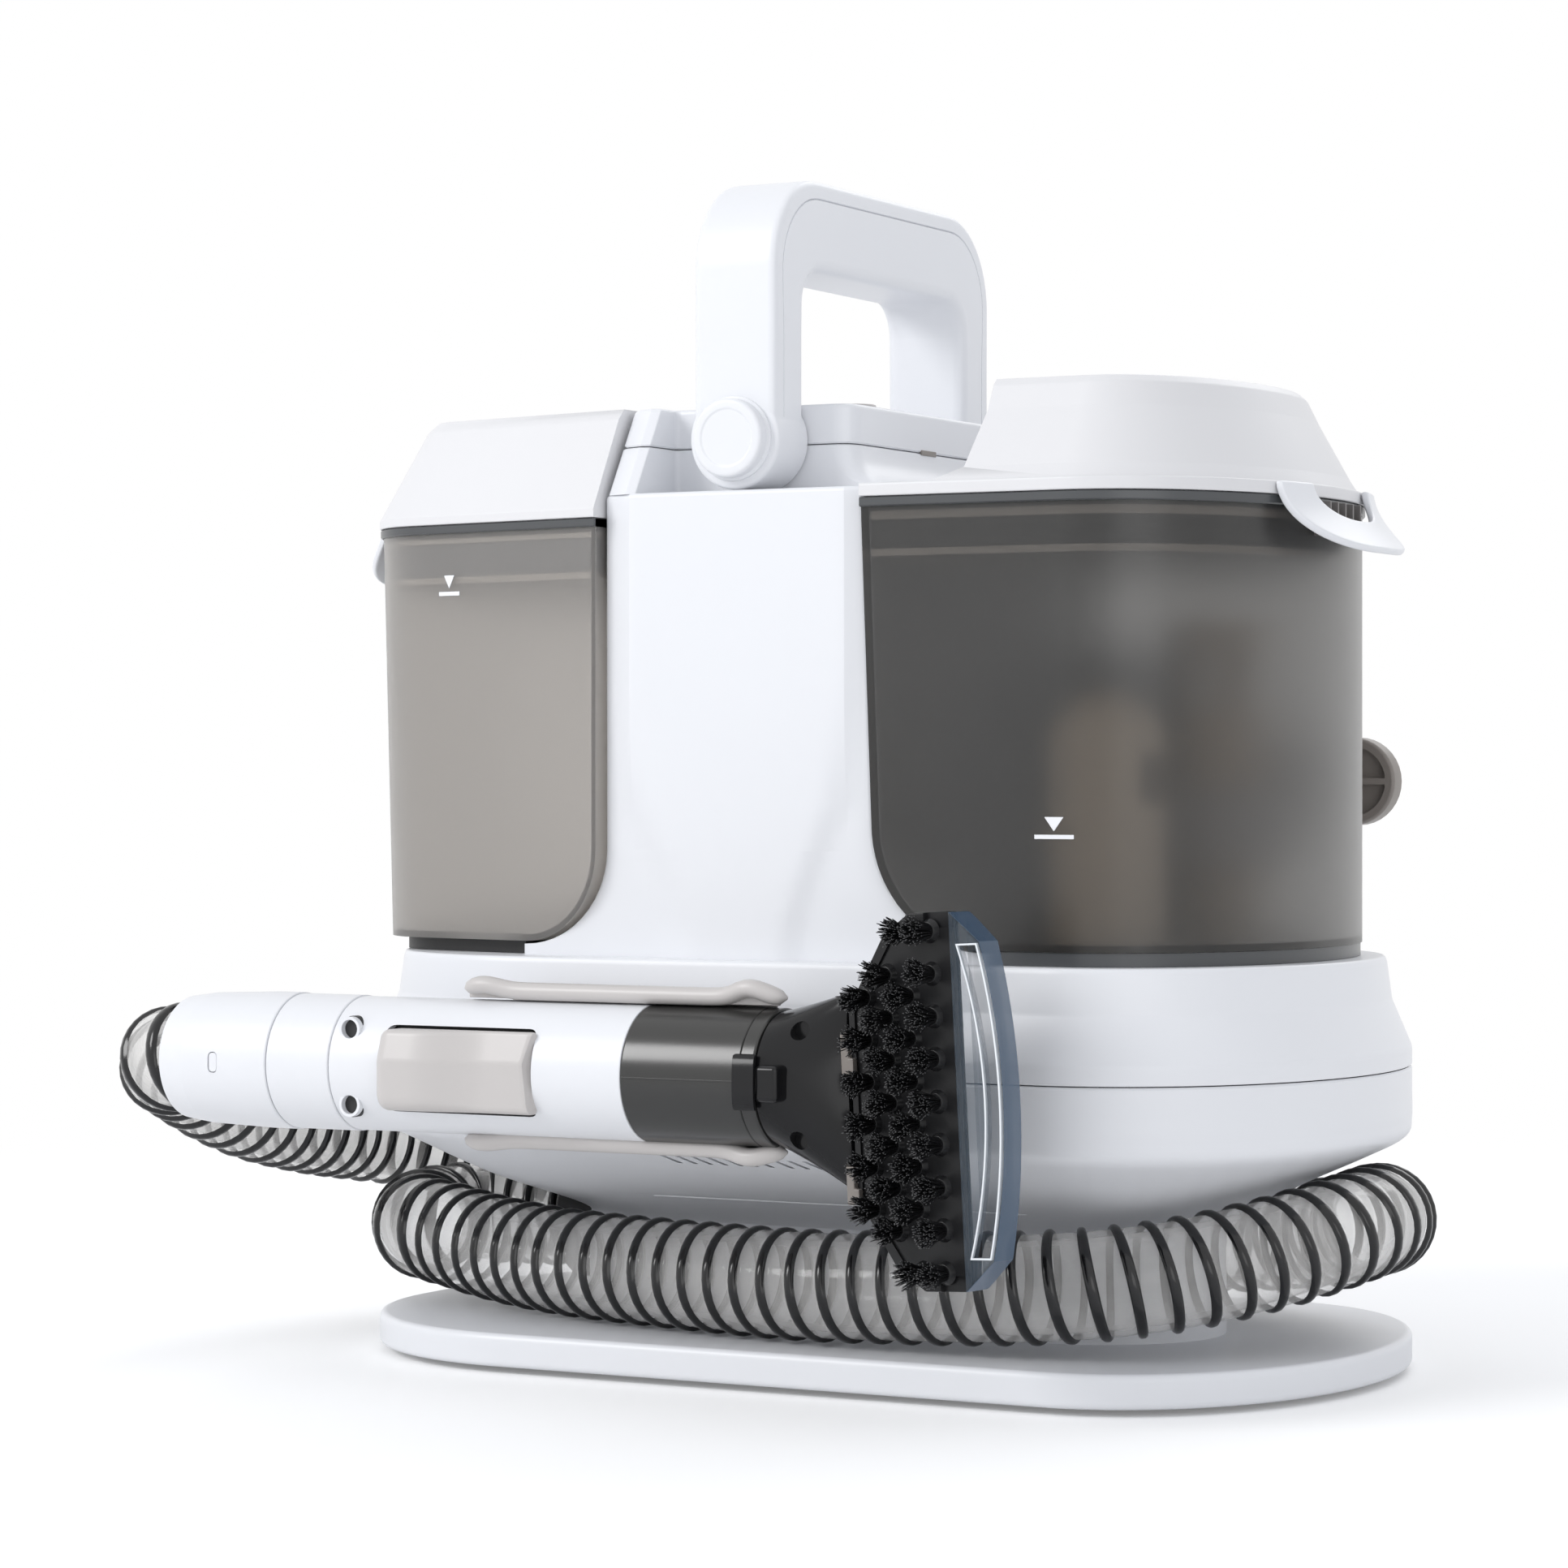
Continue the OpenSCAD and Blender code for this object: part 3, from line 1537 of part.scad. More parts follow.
// Half of the brush plate's outline is mirrored about the head's middle line
function plate_outline(g) =
  let (w = head_width / 2 - g, half = [
    [plate_start + g, 26 - g * 0.5], [plate_start + 13.5 + g, w - 5.5],
    [plate_start + 22.5, w], [plate_end, w]])
  concat([for (p = half) p], [for (i = [3:-1:0]) [half[i].x, -half[i].y]]);

module tool_neck() {
  color(dark)
    difference() {
      union() {
        on_grip()
          bar_x(collar_end - spigot_length, collar_end + 6, collar_bore - 2 * spigot_fit);
        hull() {
          on_grip()
            bar_x(collar_end + 0.15, collar_end + 4, grip_diameter - 1.2);
          on_head()
            box([plate_start - 7, 0.4, -25], [plate_start - 0.4, head_thickness - 0.4, 25]);
        }
        on_grip()
          box([collar_end + 5, -grip_diameter / 2 + 1, -5], [collar_end + 11, 0, 5]);
      }
      on_grip()
        bar_x(collar_end - spigot_length - 1, collar_end + 5, collar_bore - 6);
      hull() {
        on_grip()
          bar_x(collar_end + 4, collar_end + 5, collar_bore - 6);
        on_head()
          box([plate_start - 4, 3, -21], [plate_start, head_thickness - 2.5, 21]);
      }
      on_grip()
        for (side = [-1, 1])
          translate([collar_end + 10, 0, side * 14])
            bar_y(-grip_diameter, -grip_diameter / 2 + 7, 5);
    }
}

// Hollow back of the head, open towards the neck and the window
module tool_body() {
  color(dark)
    on_head()
      difference() {
        head_slab(plate_outline(0), plate_thickness + 0.1, head_thickness);
        head_slab(concat([[plate_start - 1, 21], [plate_start + 14, head_width / 2 - 8],
          [plate_end + 1, head_width / 2 - 3]],
          [[plate_end + 1, -head_width / 2 + 3], [plate_start + 14, -head_width / 2 + 8],
            [plate_start - 1, -21]]),
          plate_thickness + 2, head_thickness - 2);
      }
}

tuft_start = plate_start + 4.1;

// Tuft places, row by row; every second row sits half a pitch lower
function tufts() = [for (row = [0:3])
  let (reach = [2.5, 3, 2.5, 4][row])
  each [for (k = [-reach:1:reach]) [tuft_start + row * row_pitch, k * tuft_pitch]]];
end_tufts = [for (side = [-1, 1]) [tuft_start + 2 * row_pitch, side * 4 * tuft_pitch]];

module brush_plate() {
  color(dark)
    on_head() {
      head_slab(plate_outline(0), 0, plate_thickness);
      for (spot = concat(tufts(), end_tufts))
        translate([spot.x, 0, spot.y])
          rotate([90, 0, 0])
            cylinder(d = tuft_diameter, h = bristle_length, $fn = 16);
    }
}

window_wall = 1.6;
lip_height = 8;
nozzle_tip = 7;

// Edge of the window: a shallow arc between two cut corners
function window_edge(g) =
  let (r = 250, half = head_width / 2 - 8.5, tip = head_length - g)
  [for (i = [-6:6]) let (z = i / 6 * (half - g)) [tip - r + sqrt(r * r - z * z), z]];

function window_outline(g) = concat(
  [[plate_end + 0.2, -head_width / 2 + g]], window_edge(g), [[plate_end + 0.2, head_width / 2 - g]]);

slot_start = head_length - 5 - slot_width;
slot_half = 40;

// Side view of the nozzle, whose back slopes down to a thin edge
module nozzle_wedge(g)
  translate([0, 0, -head_width / 2])
    linear_extrude(head_width)
      polygon([[plate_end - 2, g], [head_length + 1, g], [head_length + 1, nozzle_tip - g],
        [plate_end + 3, head_thickness - g], [plate_end - 2, head_thickness - g]]);

// Clear nozzle: hollow, open to the body, with a slot along its front lip
module nozzle_window() {
  lip_x = slot_start - 4;
  color(clear_blue)
    on_head()
      difference() {
        union() {
          intersection() {
            head_slab(window_outline(0), 0, head_thickness);
            nozzle_wedge(0);
          }
          intersection() {
            head_slab(window_outline(2), -lip_height, 1);
            translate([0, 0, -head_width / 2])
              linear_extrude(head_width)
                polygon([[plate_end + 1.5, 0.5], [lip_x, -lip_height],
                  [head_length + 1, -lip_height], [head_length + 1, 0.5]]);
          }
        }
        intersection() {
          head_slab(concat([[plate_end - 1, -head_width / 2 + 3]], window_edge(window_wall + 2),
            [[plate_end - 1, head_width / 2 - 3]]), window_wall, head_thickness - window_wall);
          nozzle_wedge(window_wall);
        }
        head_slab([for (p = window_edge(5)) [p.x, max(-slot_half, min(slot_half, p.y))],
          for (i = [6:-1:-6]) let (p = window_edge(5 + slot_width)[i + 6])
            [p.x, max(-slot_half, min(slot_half, p.y))]],
          -lip_height - 1, window_wall + 1);
      }
}

// ---------------------------------------------------------------- clip for the handset

clip_x = [-76, 26];
clip_z = handset_z;
clip_fit = 0.6;
clip_plate = 2.8;
clip_lip = 3.4;
clip_reach = 7;
clip_inner = grip_diameter / 2 + clip_fit;
clip_screw_x = [-60, 10];
clip_screw_drop = 10;
clip_screw_diameter = 4;
clip_head = 1;

// A trough that is open to the front, with a rolled edge on each lip
module handset_clip() {
  back = -half_width - 0.2;
  front = handset_y - clip_reach + 4;
  color(warm_grey)
    difference() {
      union() {
        box([clip_x[0], back - clip_plate, clip_z - clip_inner - clip_lip],
          [clip_x[1], back, clip_z + clip_inner + clip_lip]);
        for (side = [-1, 1]) {
          z = clip_z + side * clip_inner;
          box([clip_x[0], front, min(z, z + side * clip_lip)],
            [clip_x[1], back, max(z, z + side * clip_lip)]);
          translate([0, front, z + side * 2.6])
            bar_x(clip_x[0], clip_x[1], 5.2);
        }
      }
      for (x = clip_screw_x)
        translate([x, 0, clip_z - clip_screw_drop])
          bar_y(back - clip_plate - 1, back + 1, clip_screw_diameter + 0.4);
    }
}

module clip_screws() {
  back = -half_width - 0.2;
  color(steel)
    for (x = clip_screw_x)
      translate([x, 0, clip_z - clip_screw_drop]) {
        bar_y(back - clip_plate, -half_width + housing_wall + 1, clip_screw_diameter - 0.1);
        bar_y(back - clip_plate - clip_head, back - clip_plate, 7);
      }
}

// ---------------------------------------------------------------- what is drawn

base_feet();
base_plate();
base_screws();
lower_housing();
hose_socket();
hose();
motor_pad();
motor_can();
fan_housing();
fan_rotor();
air_duct();
pump_body();
supply_tube();
spray_line();
recovery_duct();
valve_cup();
deck_housing();
cord_gland();
clean_seat();
recovery_seats();
column_front();
column_rear();
rear_panel();
cord_hooks();
circuit_board();
control_housing();
control_cover();
switch_body();
power_button();
pivot_pins();
handset_clip();
clip_screws();
handle_frame();
handle_caps();
clean_tank();
clean_valve();
valve_plunger();
clean_lid();
clean_seal();
clean_latch();
recovery_tank();
standpipe();
air_pipe();
float_sleeve();
recovery_lid();
recovery_seal();
recovery_latch();
grip_front();
grip_back();
hose_cuff();
swivel_ring();
suction_tube();
spray_valve();
trigger();
trigger_pin();
collar();
tool_neck();
tool_body();
brush_plate();
nozzle_window();
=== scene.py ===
import math
import random
from bisect import bisect_right

import bmesh
import bpy
from mathutils import Matrix, Vector
from mathutils.bvhtree import BVHTree


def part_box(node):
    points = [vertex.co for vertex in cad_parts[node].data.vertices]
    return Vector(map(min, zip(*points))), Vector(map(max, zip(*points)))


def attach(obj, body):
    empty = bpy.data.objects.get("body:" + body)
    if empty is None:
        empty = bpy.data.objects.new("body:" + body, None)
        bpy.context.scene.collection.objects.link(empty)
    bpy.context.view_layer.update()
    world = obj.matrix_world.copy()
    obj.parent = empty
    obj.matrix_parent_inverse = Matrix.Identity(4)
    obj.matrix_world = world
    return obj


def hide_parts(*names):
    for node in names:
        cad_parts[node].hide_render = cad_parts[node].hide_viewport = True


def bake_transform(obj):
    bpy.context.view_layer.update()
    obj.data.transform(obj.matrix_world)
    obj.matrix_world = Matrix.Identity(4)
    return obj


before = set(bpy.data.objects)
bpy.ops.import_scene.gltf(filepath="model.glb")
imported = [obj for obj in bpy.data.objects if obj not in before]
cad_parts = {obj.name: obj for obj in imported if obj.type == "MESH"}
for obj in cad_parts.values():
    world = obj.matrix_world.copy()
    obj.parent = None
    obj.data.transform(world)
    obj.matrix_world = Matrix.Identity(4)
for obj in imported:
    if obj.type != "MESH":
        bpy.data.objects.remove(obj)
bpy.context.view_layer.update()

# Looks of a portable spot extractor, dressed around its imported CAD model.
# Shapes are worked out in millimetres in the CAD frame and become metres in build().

MM = 0.001
scene = bpy.context.scene
chance = random.Random(11)


def box_mm(node):
    """Lowest and highest corner of a CAD node, in millimetres."""
    low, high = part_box(node)
    return [c / MM for c in low], [c / MM for c in high]


def sin(degrees):
    return math.sin(math.radians(degrees))


def cos(degrees):
    return math.cos(math.radians(degrees))


def linked(name, data):
    """A new object in the scene."""
    made = bpy.data.objects.new(name, data)
    scene.collection.objects.link(made)
    return made


# ---- camera

CAMERA_PLACE = (0.6058, -1.1998, 0.178)
CAMERA_TURN = 28.2
SENSOR = 36
LENS = 100.43
SHIFT_Y = -0.0057


def add_camera():
    camera = bpy.data.cameras.new("camera")
    camera.sensor_width = SENSOR
    camera.lens = LENS
    camera.shift_y = SHIFT_Y
    camera.clip_end = 100
    scene.camera = linked("camera", camera)
    scene.camera.location = CAMERA_PLACE
    scene.camera.rotation_euler = (math.radians(90), 0, math.radians(CAMERA_TURN))


add_camera()

# ---- materials


def feed(tree, node, inputs):
    """Gives each input a value, or links the socket that feeds it."""
    for name, value in inputs.items():
        if isinstance(value, bpy.types.NodeSocket):
            tree.links.new(value, node.inputs[name])
        else:
            node.inputs[name].default_value = value


def add_node(tree, kind, inputs, output=0, **settings):
    """Adds a shader node and returns one of its outputs."""
    node = tree.nodes.new("ShaderNode" + kind)
    for name, value in settings.items():
        setattr(node, name, value)
    feed(tree, node, inputs)
    return node.outputs[output]


GRAIN_DEPTH = 0.0004
LEAST_ROUGH = 0.02


def surface(name, colour, rough, spread=0.05, grain=900, bump=0.03, tone=0.04, cloud=14, **sockets):
    """Moulded plastic, rubber or metal: fine grain in the bump, clouds in the gloss and the tone."""
    material = bpy.data.materials.new(name)
    material.use_nodes = True
    tree = material.node_tree
    spot = add_node(tree, "TexCoord", {}, "Object")
    fine = add_node(tree, "TexNoise", {"Scale": grain, "Detail": 3, "Vector": spot})
    clouds = add_node(tree, "TexNoise", {"Scale": cloud, "Detail": 4, "Vector": spot})
    dark = (*[c * (1 - tone) for c in colour], 1)
    pale = (*[min(1, c * (1 + tone)) for c in colour], 1)
    inputs = {"Base Color": add_node(tree, "Mix", {"A": dark, "B": pale, "Factor": clouds}, "Result",
        data_type="RGBA"), "Roughness": add_node(tree, "MapRange",
        {"To Min": max(LEAST_ROUGH, rough - spread), "To Max": rough + spread, "Value": clouds}),
        "Normal": add_node(tree, "Bump", {"Strength": bump, "Distance": GRAIN_DEPTH, "Height": fine})}
    inputs.update({socket.replace("_", " "): value for socket, value in sockets.items()})
    feed(tree, tree.nodes["Principled BSDF"], inputs)
    return material


def see_through(material, facing, edge):
    """Opacity that rises from the middle of a clear wall to its edges."""
    tree = material.node_tree
    weight = add_node(tree, "LayerWeight", {"Blend": 0.35}, "Facing")
    opacity = add_node(tree, "MapRange", {"To Min": facing, "To Max": edge, "Value": weight})
    feed(tree, tree.nodes["Principled BSDF"], {"Alpha": opacity})
    return material


white = surface("white_plastic", (0.79, 0.80, 0.825), 0.34, tone=0.012, bump=0.02, IOR=1.46)
white_lid = surface("white_lid", (0.73, 0.728, 0.738), 0.4, tone=0.012, grain=700, bump=0.05)
warm_grey = surface("warm_grey_plastic", (0.55, 0.525, 0.51), 0.36, tone=0.03, bump=0.04)
taupe = surface("taupe_plastic", (0.24, 0.215, 0.195), 0.40, tone=0.05, bump=0.06)
black_gloss = surface("black_gloss", (0.01, 0.01, 0.011), 0.17, spread=0.04, tone=0.1, bump=0.015,
    Specular_IOR_Level=0.32)
black_matte = surface("black_matte", (0.02, 0.02, 0.021), 0.5, tone=0.15, bump=0.1)
bristle = surface("bristle_nylon", (0.009, 0.009, 0.01), 0.42, grain=2500, bump=0.05, tone=0.2)
collar_gloss = surface("smoky_collar", (0.020, 0.020, 0.019), 0.22, tone=0.08, bump=0.012,
    Specular_IOR_Level=0.7)
bristle_tip = surface("bristle_tips", (0.09, 0.09, 0.092), 0.5, grain=2500, bump=0.05, tone=0.3)
rubber = surface("rubber", (0.03, 0.03, 0.032), 0.62, grain=1400, bump=0.15, tone=0.12)
steel = surface("brushed_steel", (0.55, 0.56, 0.58), 0.3, spread=0.1, grain=1800, bump=0.08, Metallic=1.0)
board = surface("solder_mask", (0.015, 0.12, 0.05), 0.3, grain=350, bump=0.3, tone=0.25, cloud=160)
pale_print = surface("pale_print", (0.88, 0.89, 0.92), 0.45, tone=0.02, grain=1600)
rib_black = surface("hose_rib", (0.007, 0.007, 0.008), 0.16, spread=0.05, tone=0.15, bump=0.04)
clear_wall = see_through(surface("hose_wall", (0.86, 0.845, 0.82), 0.06, spread=0.03, tone=0.06,
    grain=160, bump=0.3, cloud=60, Specular_IOR_Level=0.9), 0.12, 0.62)
window_tint = see_through(surface("window_tint", (0.12, 0.16, 0.205), 0.05, spread=0.02, tone=0.05,
    grain=200, bump=0.02), 0.13, 0.5)
window_edge_tint = see_through(surface("window_edge", (0.055, 0.095, 0.155), 0.08, spread=0.02, tone=0.08,
    grain=300, bump=0.03), 0.78, 0.95)
smoke = surface("smoke_tank", (0.45, 0.445, 0.44), 0.31, spread=0.02, tone=0.03, grain=400, bump=0.012,
    Transmission_Weight=0.96, IOR=1.45)
mist = surface("mist_tank", (0.70, 0.675, 0.65), 0.32, spread=0.02, tone=0.02, grain=400, bump=0.012,
    Transmission_Weight=0.86, IOR=1.45)
# Warm pipe colour: partly the pipes' own tint, partly a painted glow of light through the recovery tank.
pipe_tint_and_glow = surface("pipe_tint_and_glow", (0.72, 0.58, 0.43), 0.3, tone=0.06)
dark_trim = surface("smoky_rim", (0.07, 0.074, 0.078), 0.3, tone=0.08)
lip_white = surface("lip_white", (0.78, 0.76, 0.73), 0.5, tone=0.03)
# Painted shade: grey for the band inside the clean tank's mouth, standing for the shadow under the lid.
lid_shade_grey = surface("lid_shade_grey", (0.30, 0.32, 0.35), 0.6, tone=0.04)
lip_smoke = surface("lip_smoke", (0.62, 0.56, 0.50), 0.5, tone=0.05)
smoky_rib = surface("smoky_rib", (0.16, 0.15, 0.145), 0.3, tone=0.08)
pale_liner = surface("slot_lip", (0.80, 0.83, 0.86), 0.2, tone=0.05)
black_satin = surface("black_satin", (0.014, 0.014, 0.015), 0.3, tone=0.1, bump=0.05,
    Specular_IOR_Level=0.3)

# ---- plan outlines

PLATE_LOW, PLATE_HIGH = box_mm("base_plate")
HALF_LENGTH = PLATE_HIGH[0]
HALF_WIDTH = PLATE_HIGH[1]
FOOT_Z = PLATE_LOW[2]
BASE_TOP = PLATE_HIGH[2]
NOSE_LENGTH = 66.5
NOSE_X = HALF_LENGTH - NOSE_LENGTH
CORNER_RADIUS = 76
NOSE_STEPS = 56
CORNER_STEPS = 18
WAIST_X = 4
WAIST_HALF = (104, 38)
SEAM_GAP = 0.15
SKIRT_Z = BASE_TOP + 55
SEAM_Z = box_mm("lower_housing")[1][2] + SEAM_GAP
DECK_Z = box_mm("deck_housing")[1][2]
TANK_Z = DECK_Z + 4
CLEAN_TOP = box_mm("clean_tank")[1][2]
RECOVERY_TOP = box_mm("recovery_tank")[1][2]
LEDGE_Z = box_mm("column_front")[1][2]
COVER_TOP = box_mm("control_cover")[1][2]


def arc(x, y, radius, start, end, steps):
    angles = [start + (end - start) * i / steps for i in range(steps + 1)]
    return [(x + radius * cos(a), y + radius * sin(a)) for a in angles]


def nose(x, a, b):
    """Half an ellipse that bulges to +X."""
    angles = [-90 + 180 * i / NOSE_STEPS for i in range(NOSE_STEPS + 1)]
    return [(x + a * cos(t), b * sin(t)) for t in angles]


def pebble(inset):
    """Plan of the base and the skirt: an ellipse end and two big corners."""
    x, y = CORNER_RADIUS - HALF_LENGTH, HALF_WIDTH - CORNER_RADIUS
    radius = CORNER_RADIUS - inset
    return (nose(NOSE_X, NOSE_LENGTH - inset, HALF_WIDTH - inset)
        + arc(x, y, radius, 90, 180, CORNER_STEPS) + arc(x, -y, radius, 180, 270, CORNER_STEPS))


def waist(inset):
    """Plan of the waist that the hose is wound round."""
    half_x, half_y = WAIST_HALF[0] - inset, WAIST_HALF[1] - inset
    return [(WAIST_X + x * half_x / HALF_LENGTH, y * half_y / HALF_WIDTH) for x, y in pebble(0)]


def rectangle(left, low, right, high):
    return [(left, low), (right, low), (right, high), (left, high)]


def at(plan, z):
    return [(x, y, z) for x, y in plan]


def stack(plan, spans):
    """Rings of a plan, drawn in by each inset and set at each height."""
    return [at(plan(inset), z) for inset, z in spans]


def fillet(points, radii, closed=False, steps=5):
    """The same outline with its corners rounded."""
    rounded = []
    last = len(points) - 1
    for i, point in enumerate(points):
        radius = radii[i] if isinstance(radii, (list, tuple)) else radii
        if radius <= 0 or (not closed and i in (0, last)):
            rounded.append(tuple(point))
            continue
        corner = Vector(point)
        back = Vector(points[i - 1]) - corner
        ahead = Vector(points[(i + 1) % len(points)]) - corner
        half = back.angle(ahead) / 2
        reach = min(radius / math.tan(half), 0.49 * back.length, 0.49 * ahead.length)
        start, end = corner + back.normalized() * reach, corner + ahead.normalized() * reach
        for k in range(steps + 1):
            t = k / steps
            rounded.append(tuple((1 - t) ** 2 * start + 2 * t * (1 - t) * corner + t * t * end))
    return rounded


def pad(left, low, right, high, radius):
    """A rectangle with rounded corners."""
    return fillet(rectangle(left, low, right, high), radius, True)


# ---- mesh tools


def build(name, points, faces, material):
    """A mesh object from points in millimetres."""
    mesh = bpy.data.meshes.new(name)
    mesh.from_pydata([Vector(p) * MM for p in points], [], faces)
    mesh.materials.append(material)
    clean(mesh)
    return linked(name, mesh)


def clean(mesh, outwards=True):
    """Merges doubled points and turns the faces outwards."""
    work = bmesh.new()
    work.from_mesh(mesh)
    bmesh.ops.remove_doubles(work, verts=work.verts, dist=1e-6)
    if outwards:
        bmesh.ops.recalc_face_normals(work, faces=work.faces)
    work.to_mesh(mesh)
    work.free()


def loft(name, rings, material, wrap=True, caps=(True, True), cyclic=False):
    """Skin through rings of equally many points."""
    count = len(rings[0])
    points = [p for ring in rings for p in ring]
    across = count if wrap else count - 1
    spans = len(rings) if cyclic else len(rings) - 1
    faces = []
    for k in range(spans):
        a, b = k * count, (k + 1) % len(rings) * count
        for i in range(across):
            j = (i + 1) % count
            faces.append((a + i, a + j, b + j, b + i))
    if caps[0] and not cyclic:
        faces.append(tuple(reversed(range(count))))
    if caps[1] and not cyclic:
        faces.append(tuple(range(len(points) - count, len(points))))
    return build(name, points, faces, material)


AXES = {"x": lambda a, b, c: (c, a, b), "y": lambda a, b, c: (a, c, b), "z": lambda a, b, c: (a, b, c)}


def prism(name, outline, low, high, axis, material):
    """An outline in the two other axes, pushed along one axis."""
    put = AXES[axis]
    return loft(name, [[put(a, b, c) for a, b in outline] for c in (low, high)], material)


def block(name, low, high, material, round_to=0.6, segments=3):
    made = prism(name, rectangle(*low[:2], *high[:2]), low[2], high[2], "z", material)
    return bevel(made, round_to, segments) if round_to else made


def revolve(name, profile, centre, axis, material, sides=72, cyclic=False):
    """Turns (along, radius) points round an axis through centre."""
    angles = [360 * k / sides for k in range(sides)]

    def point(along, radius, angle):
        spot = Vector(AXES[axis](radius * cos(angle), radius * sin(angle), along))
        return tuple(Vector(centre) + spot)

    return loft(name, [[point(*row, angle) for angle in angles] for row in profile], material,
        cyclic=cyclic)


def frames_along(path):
    """Points with side and up vectors that turn as little as possible along a path."""
    points = [Vector(p) for p in path]
    aheads = [(points[min(i + 1, len(points) - 1)] - points[max(i - 1, 0)]).normalized()
        for i in range(len(points))]
    level = abs(aheads[0].z) < 0.9
    side = aheads[0].cross(Vector((0, 0, 1)) if level else Vector((0, 1, 0))).normalized()
    out = []
    for point, ahead in zip(points, aheads):
        side = (side - ahead * side.dot(ahead)).normalized()
        out.append((point, side, ahead.cross(side)))
    return out


def tube(name, path, radii, material, sides=20):
    """A closed tube; radii holds (across, up) for each point of the path."""
    angles = [360 * k / sides for k in range(sides)]
    rings = [[tuple(point + side * across * cos(a) + up * tall * sin(a)) for a in angles]
        for (point, side, up), (across, tall) in zip(frames_along(path), radii)]
    return loft(name, rings, material)


def bake(made):
    """Applies the modifiers."""
    graph = bpy.context.evaluated_depsgraph_get()
    mesh = bpy.data.meshes.new_from_object(made.evaluated_get(graph))
    made.modifiers.clear()
    made.data = mesh
    return made


def bevel(made, width, segments=3, angle=35):
    tool = made.modifiers.new("bevel", "BEVEL")
    tool.width = width * MM
    tool.segments = segments
    tool.limit_method = "ANGLE"
    tool.angle_limit = math.radians(angle)
    return bake(made)


def thicken(made, wall):
    tool = made.modifiers.new("wall", "SOLIDIFY")
    tool.thickness = wall * MM
    tool.offset = -1
    tool.use_even_offset = True
    return bake(made)


def combine(made, other, operation="DIFFERENCE"):
    tool = made.modifiers.new("combine", "BOOLEAN")
    tool.operation = operation
    tool.solver = "EXACT"
    tool.object = other
    bake(made)
    bpy.data.objects.remove(other)
    return made


def cutter(outline, low, high, axis="z"):
    return prism("cut", outline, low, high, axis, white)


def drill(x, y, radius, low, high, axis="z", sides=24):
    """A round cutter."""
    return cutter(arc(x, y, radius, 0, 360 - 360 / sides, sides - 1), low, high, axis)


def together(name, parts):
    """Joins separate solids into one object."""
    work = bmesh.new()
    for part in parts:
        part.data.transform(part.matrix_world)
        work.from_mesh(part.data)
    mesh = bpy.data.meshes.new(name)
    work.to_mesh(mesh)
    work.free()
    for material in parts[0].data.materials:
        mesh.materials.append(material)
    for part in parts:
        bpy.data.objects.remove(part)
    return linked(name, mesh)


def mirrored(made, normal):
    """A copy on the other side of a plane through the origin."""
    mesh = made.data.copy()
    mesh.transform(Matrix.Scale(-1, 4, normal))
    mesh.flip_normals()
    return linked(made.name + "_twin", mesh)


def place(made, body, nodes=(), smooth=32):
    """Smooths a finished piece, ties it to its body and hides the CAD nodes it replaces."""
    made.data.shade_smooth()
    made.data.set_sharp_from_angle(angle=math.radians(smooth))
    made.modifiers.new("normals", "WEIGHTED_NORMAL").keep_sharp = True
    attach(made, body)
    if nodes:
        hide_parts(*nodes)
    return made


# ---- hose

# Route of the hose's centre line, in metres, from the socket to the cuff
HOSE_ROUTE = [(-0.104, 0.012, 0.036), (-0.121, 0.012, 0.036), (-0.138, 0.012, 0.036),
    (-0.1493, 0.009, 0.036), (-0.1575, 0.001, 0.036), (-0.1605, -0.0105, 0.0355),
    (-0.1575, -0.022, 0.035), (-0.1493, -0.0295, 0.034), (-0.138, -0.033, 0.033), (-0.12, -0.04, 0.031),
    (-0.095, -0.049, 0.0295), (-0.064, -0.058, 0.029), (0, -0.07, 0.029), (0.035, -0.072, 0.03),
    (0.07, -0.071, 0.0315), (0.097, -0.0655, 0.0335), (0.119, -0.052, 0.0365), (0.137, -0.032, 0.041),
    (0.149, -0.01, 0.0455), (0.152, 0.012, 0.0475), (0.146, 0.033, 0.0455), (0.13, 0.051, 0.041),
    (0.104, 0.065, 0.0355), (0.07, 0.071, 0.032), (0.03, 0.073, 0.031), (-0.06, 0.072, 0.032),
    (-0.1, 0.069, 0.035), (-0.138, 0.061, 0.0415), (-0.166, 0.046, 0.05), (-0.186, 0.024, 0.057),
    (-0.195, -0.002, 0.0615), (-0.196, -0.03, 0.066), (-0.196, -0.06, 0.0725), (-0.196, -0.082, 0.08),
    (-0.1945, -0.098, 0.0865), (-0.1918, -0.1088, 0.09), (-0.1843, -0.1163, 0.0923),
    (-0.174, -0.119, 0.093), (-0.158, -0.119, 0.093), (-0.142, -0.119, 0.093)]
HOSE_BORE = 26.8
HOSE_PITCH = 9.6
HOSE_SIDES = 32
WALL_RADIUS = 15.2
# Share of the pitch and radius of each row: seven rows of black rib, then three of clear wall
RIB_ROWS = ((0, 15.2), (0.02, 16.0), (0.08, 16.45), (0.145, 16.5), (0.21, 16.45), (0.27, 16.0),
    (0.29, 15.2))
WALL_ROWS = ((0.46, 15.25), (0.64, 15.35), (0.83, 15.25))


def spline(points, steps):
    """Catmull-Rom curve through the points."""
    out = []
    last = len(points) - 1
    for i in range(last):
        p, q = points[i], points[i + 1]
        m = (q - points[i - 1]) / 2 if i else q - p
        w = (points[i + 2] - p) / 2 if i < last - 1 else q - p
        for k in range(steps):
            t = k / steps
            out.append(p * (2 * t ** 3 - 3 * t * t + 1) + m * (t ** 3 - 2 * t * t + t) + q
                * (3 * t * t - 2 * t ** 3) + w * (t ** 3 - t * t))
    return out + [points[last]]


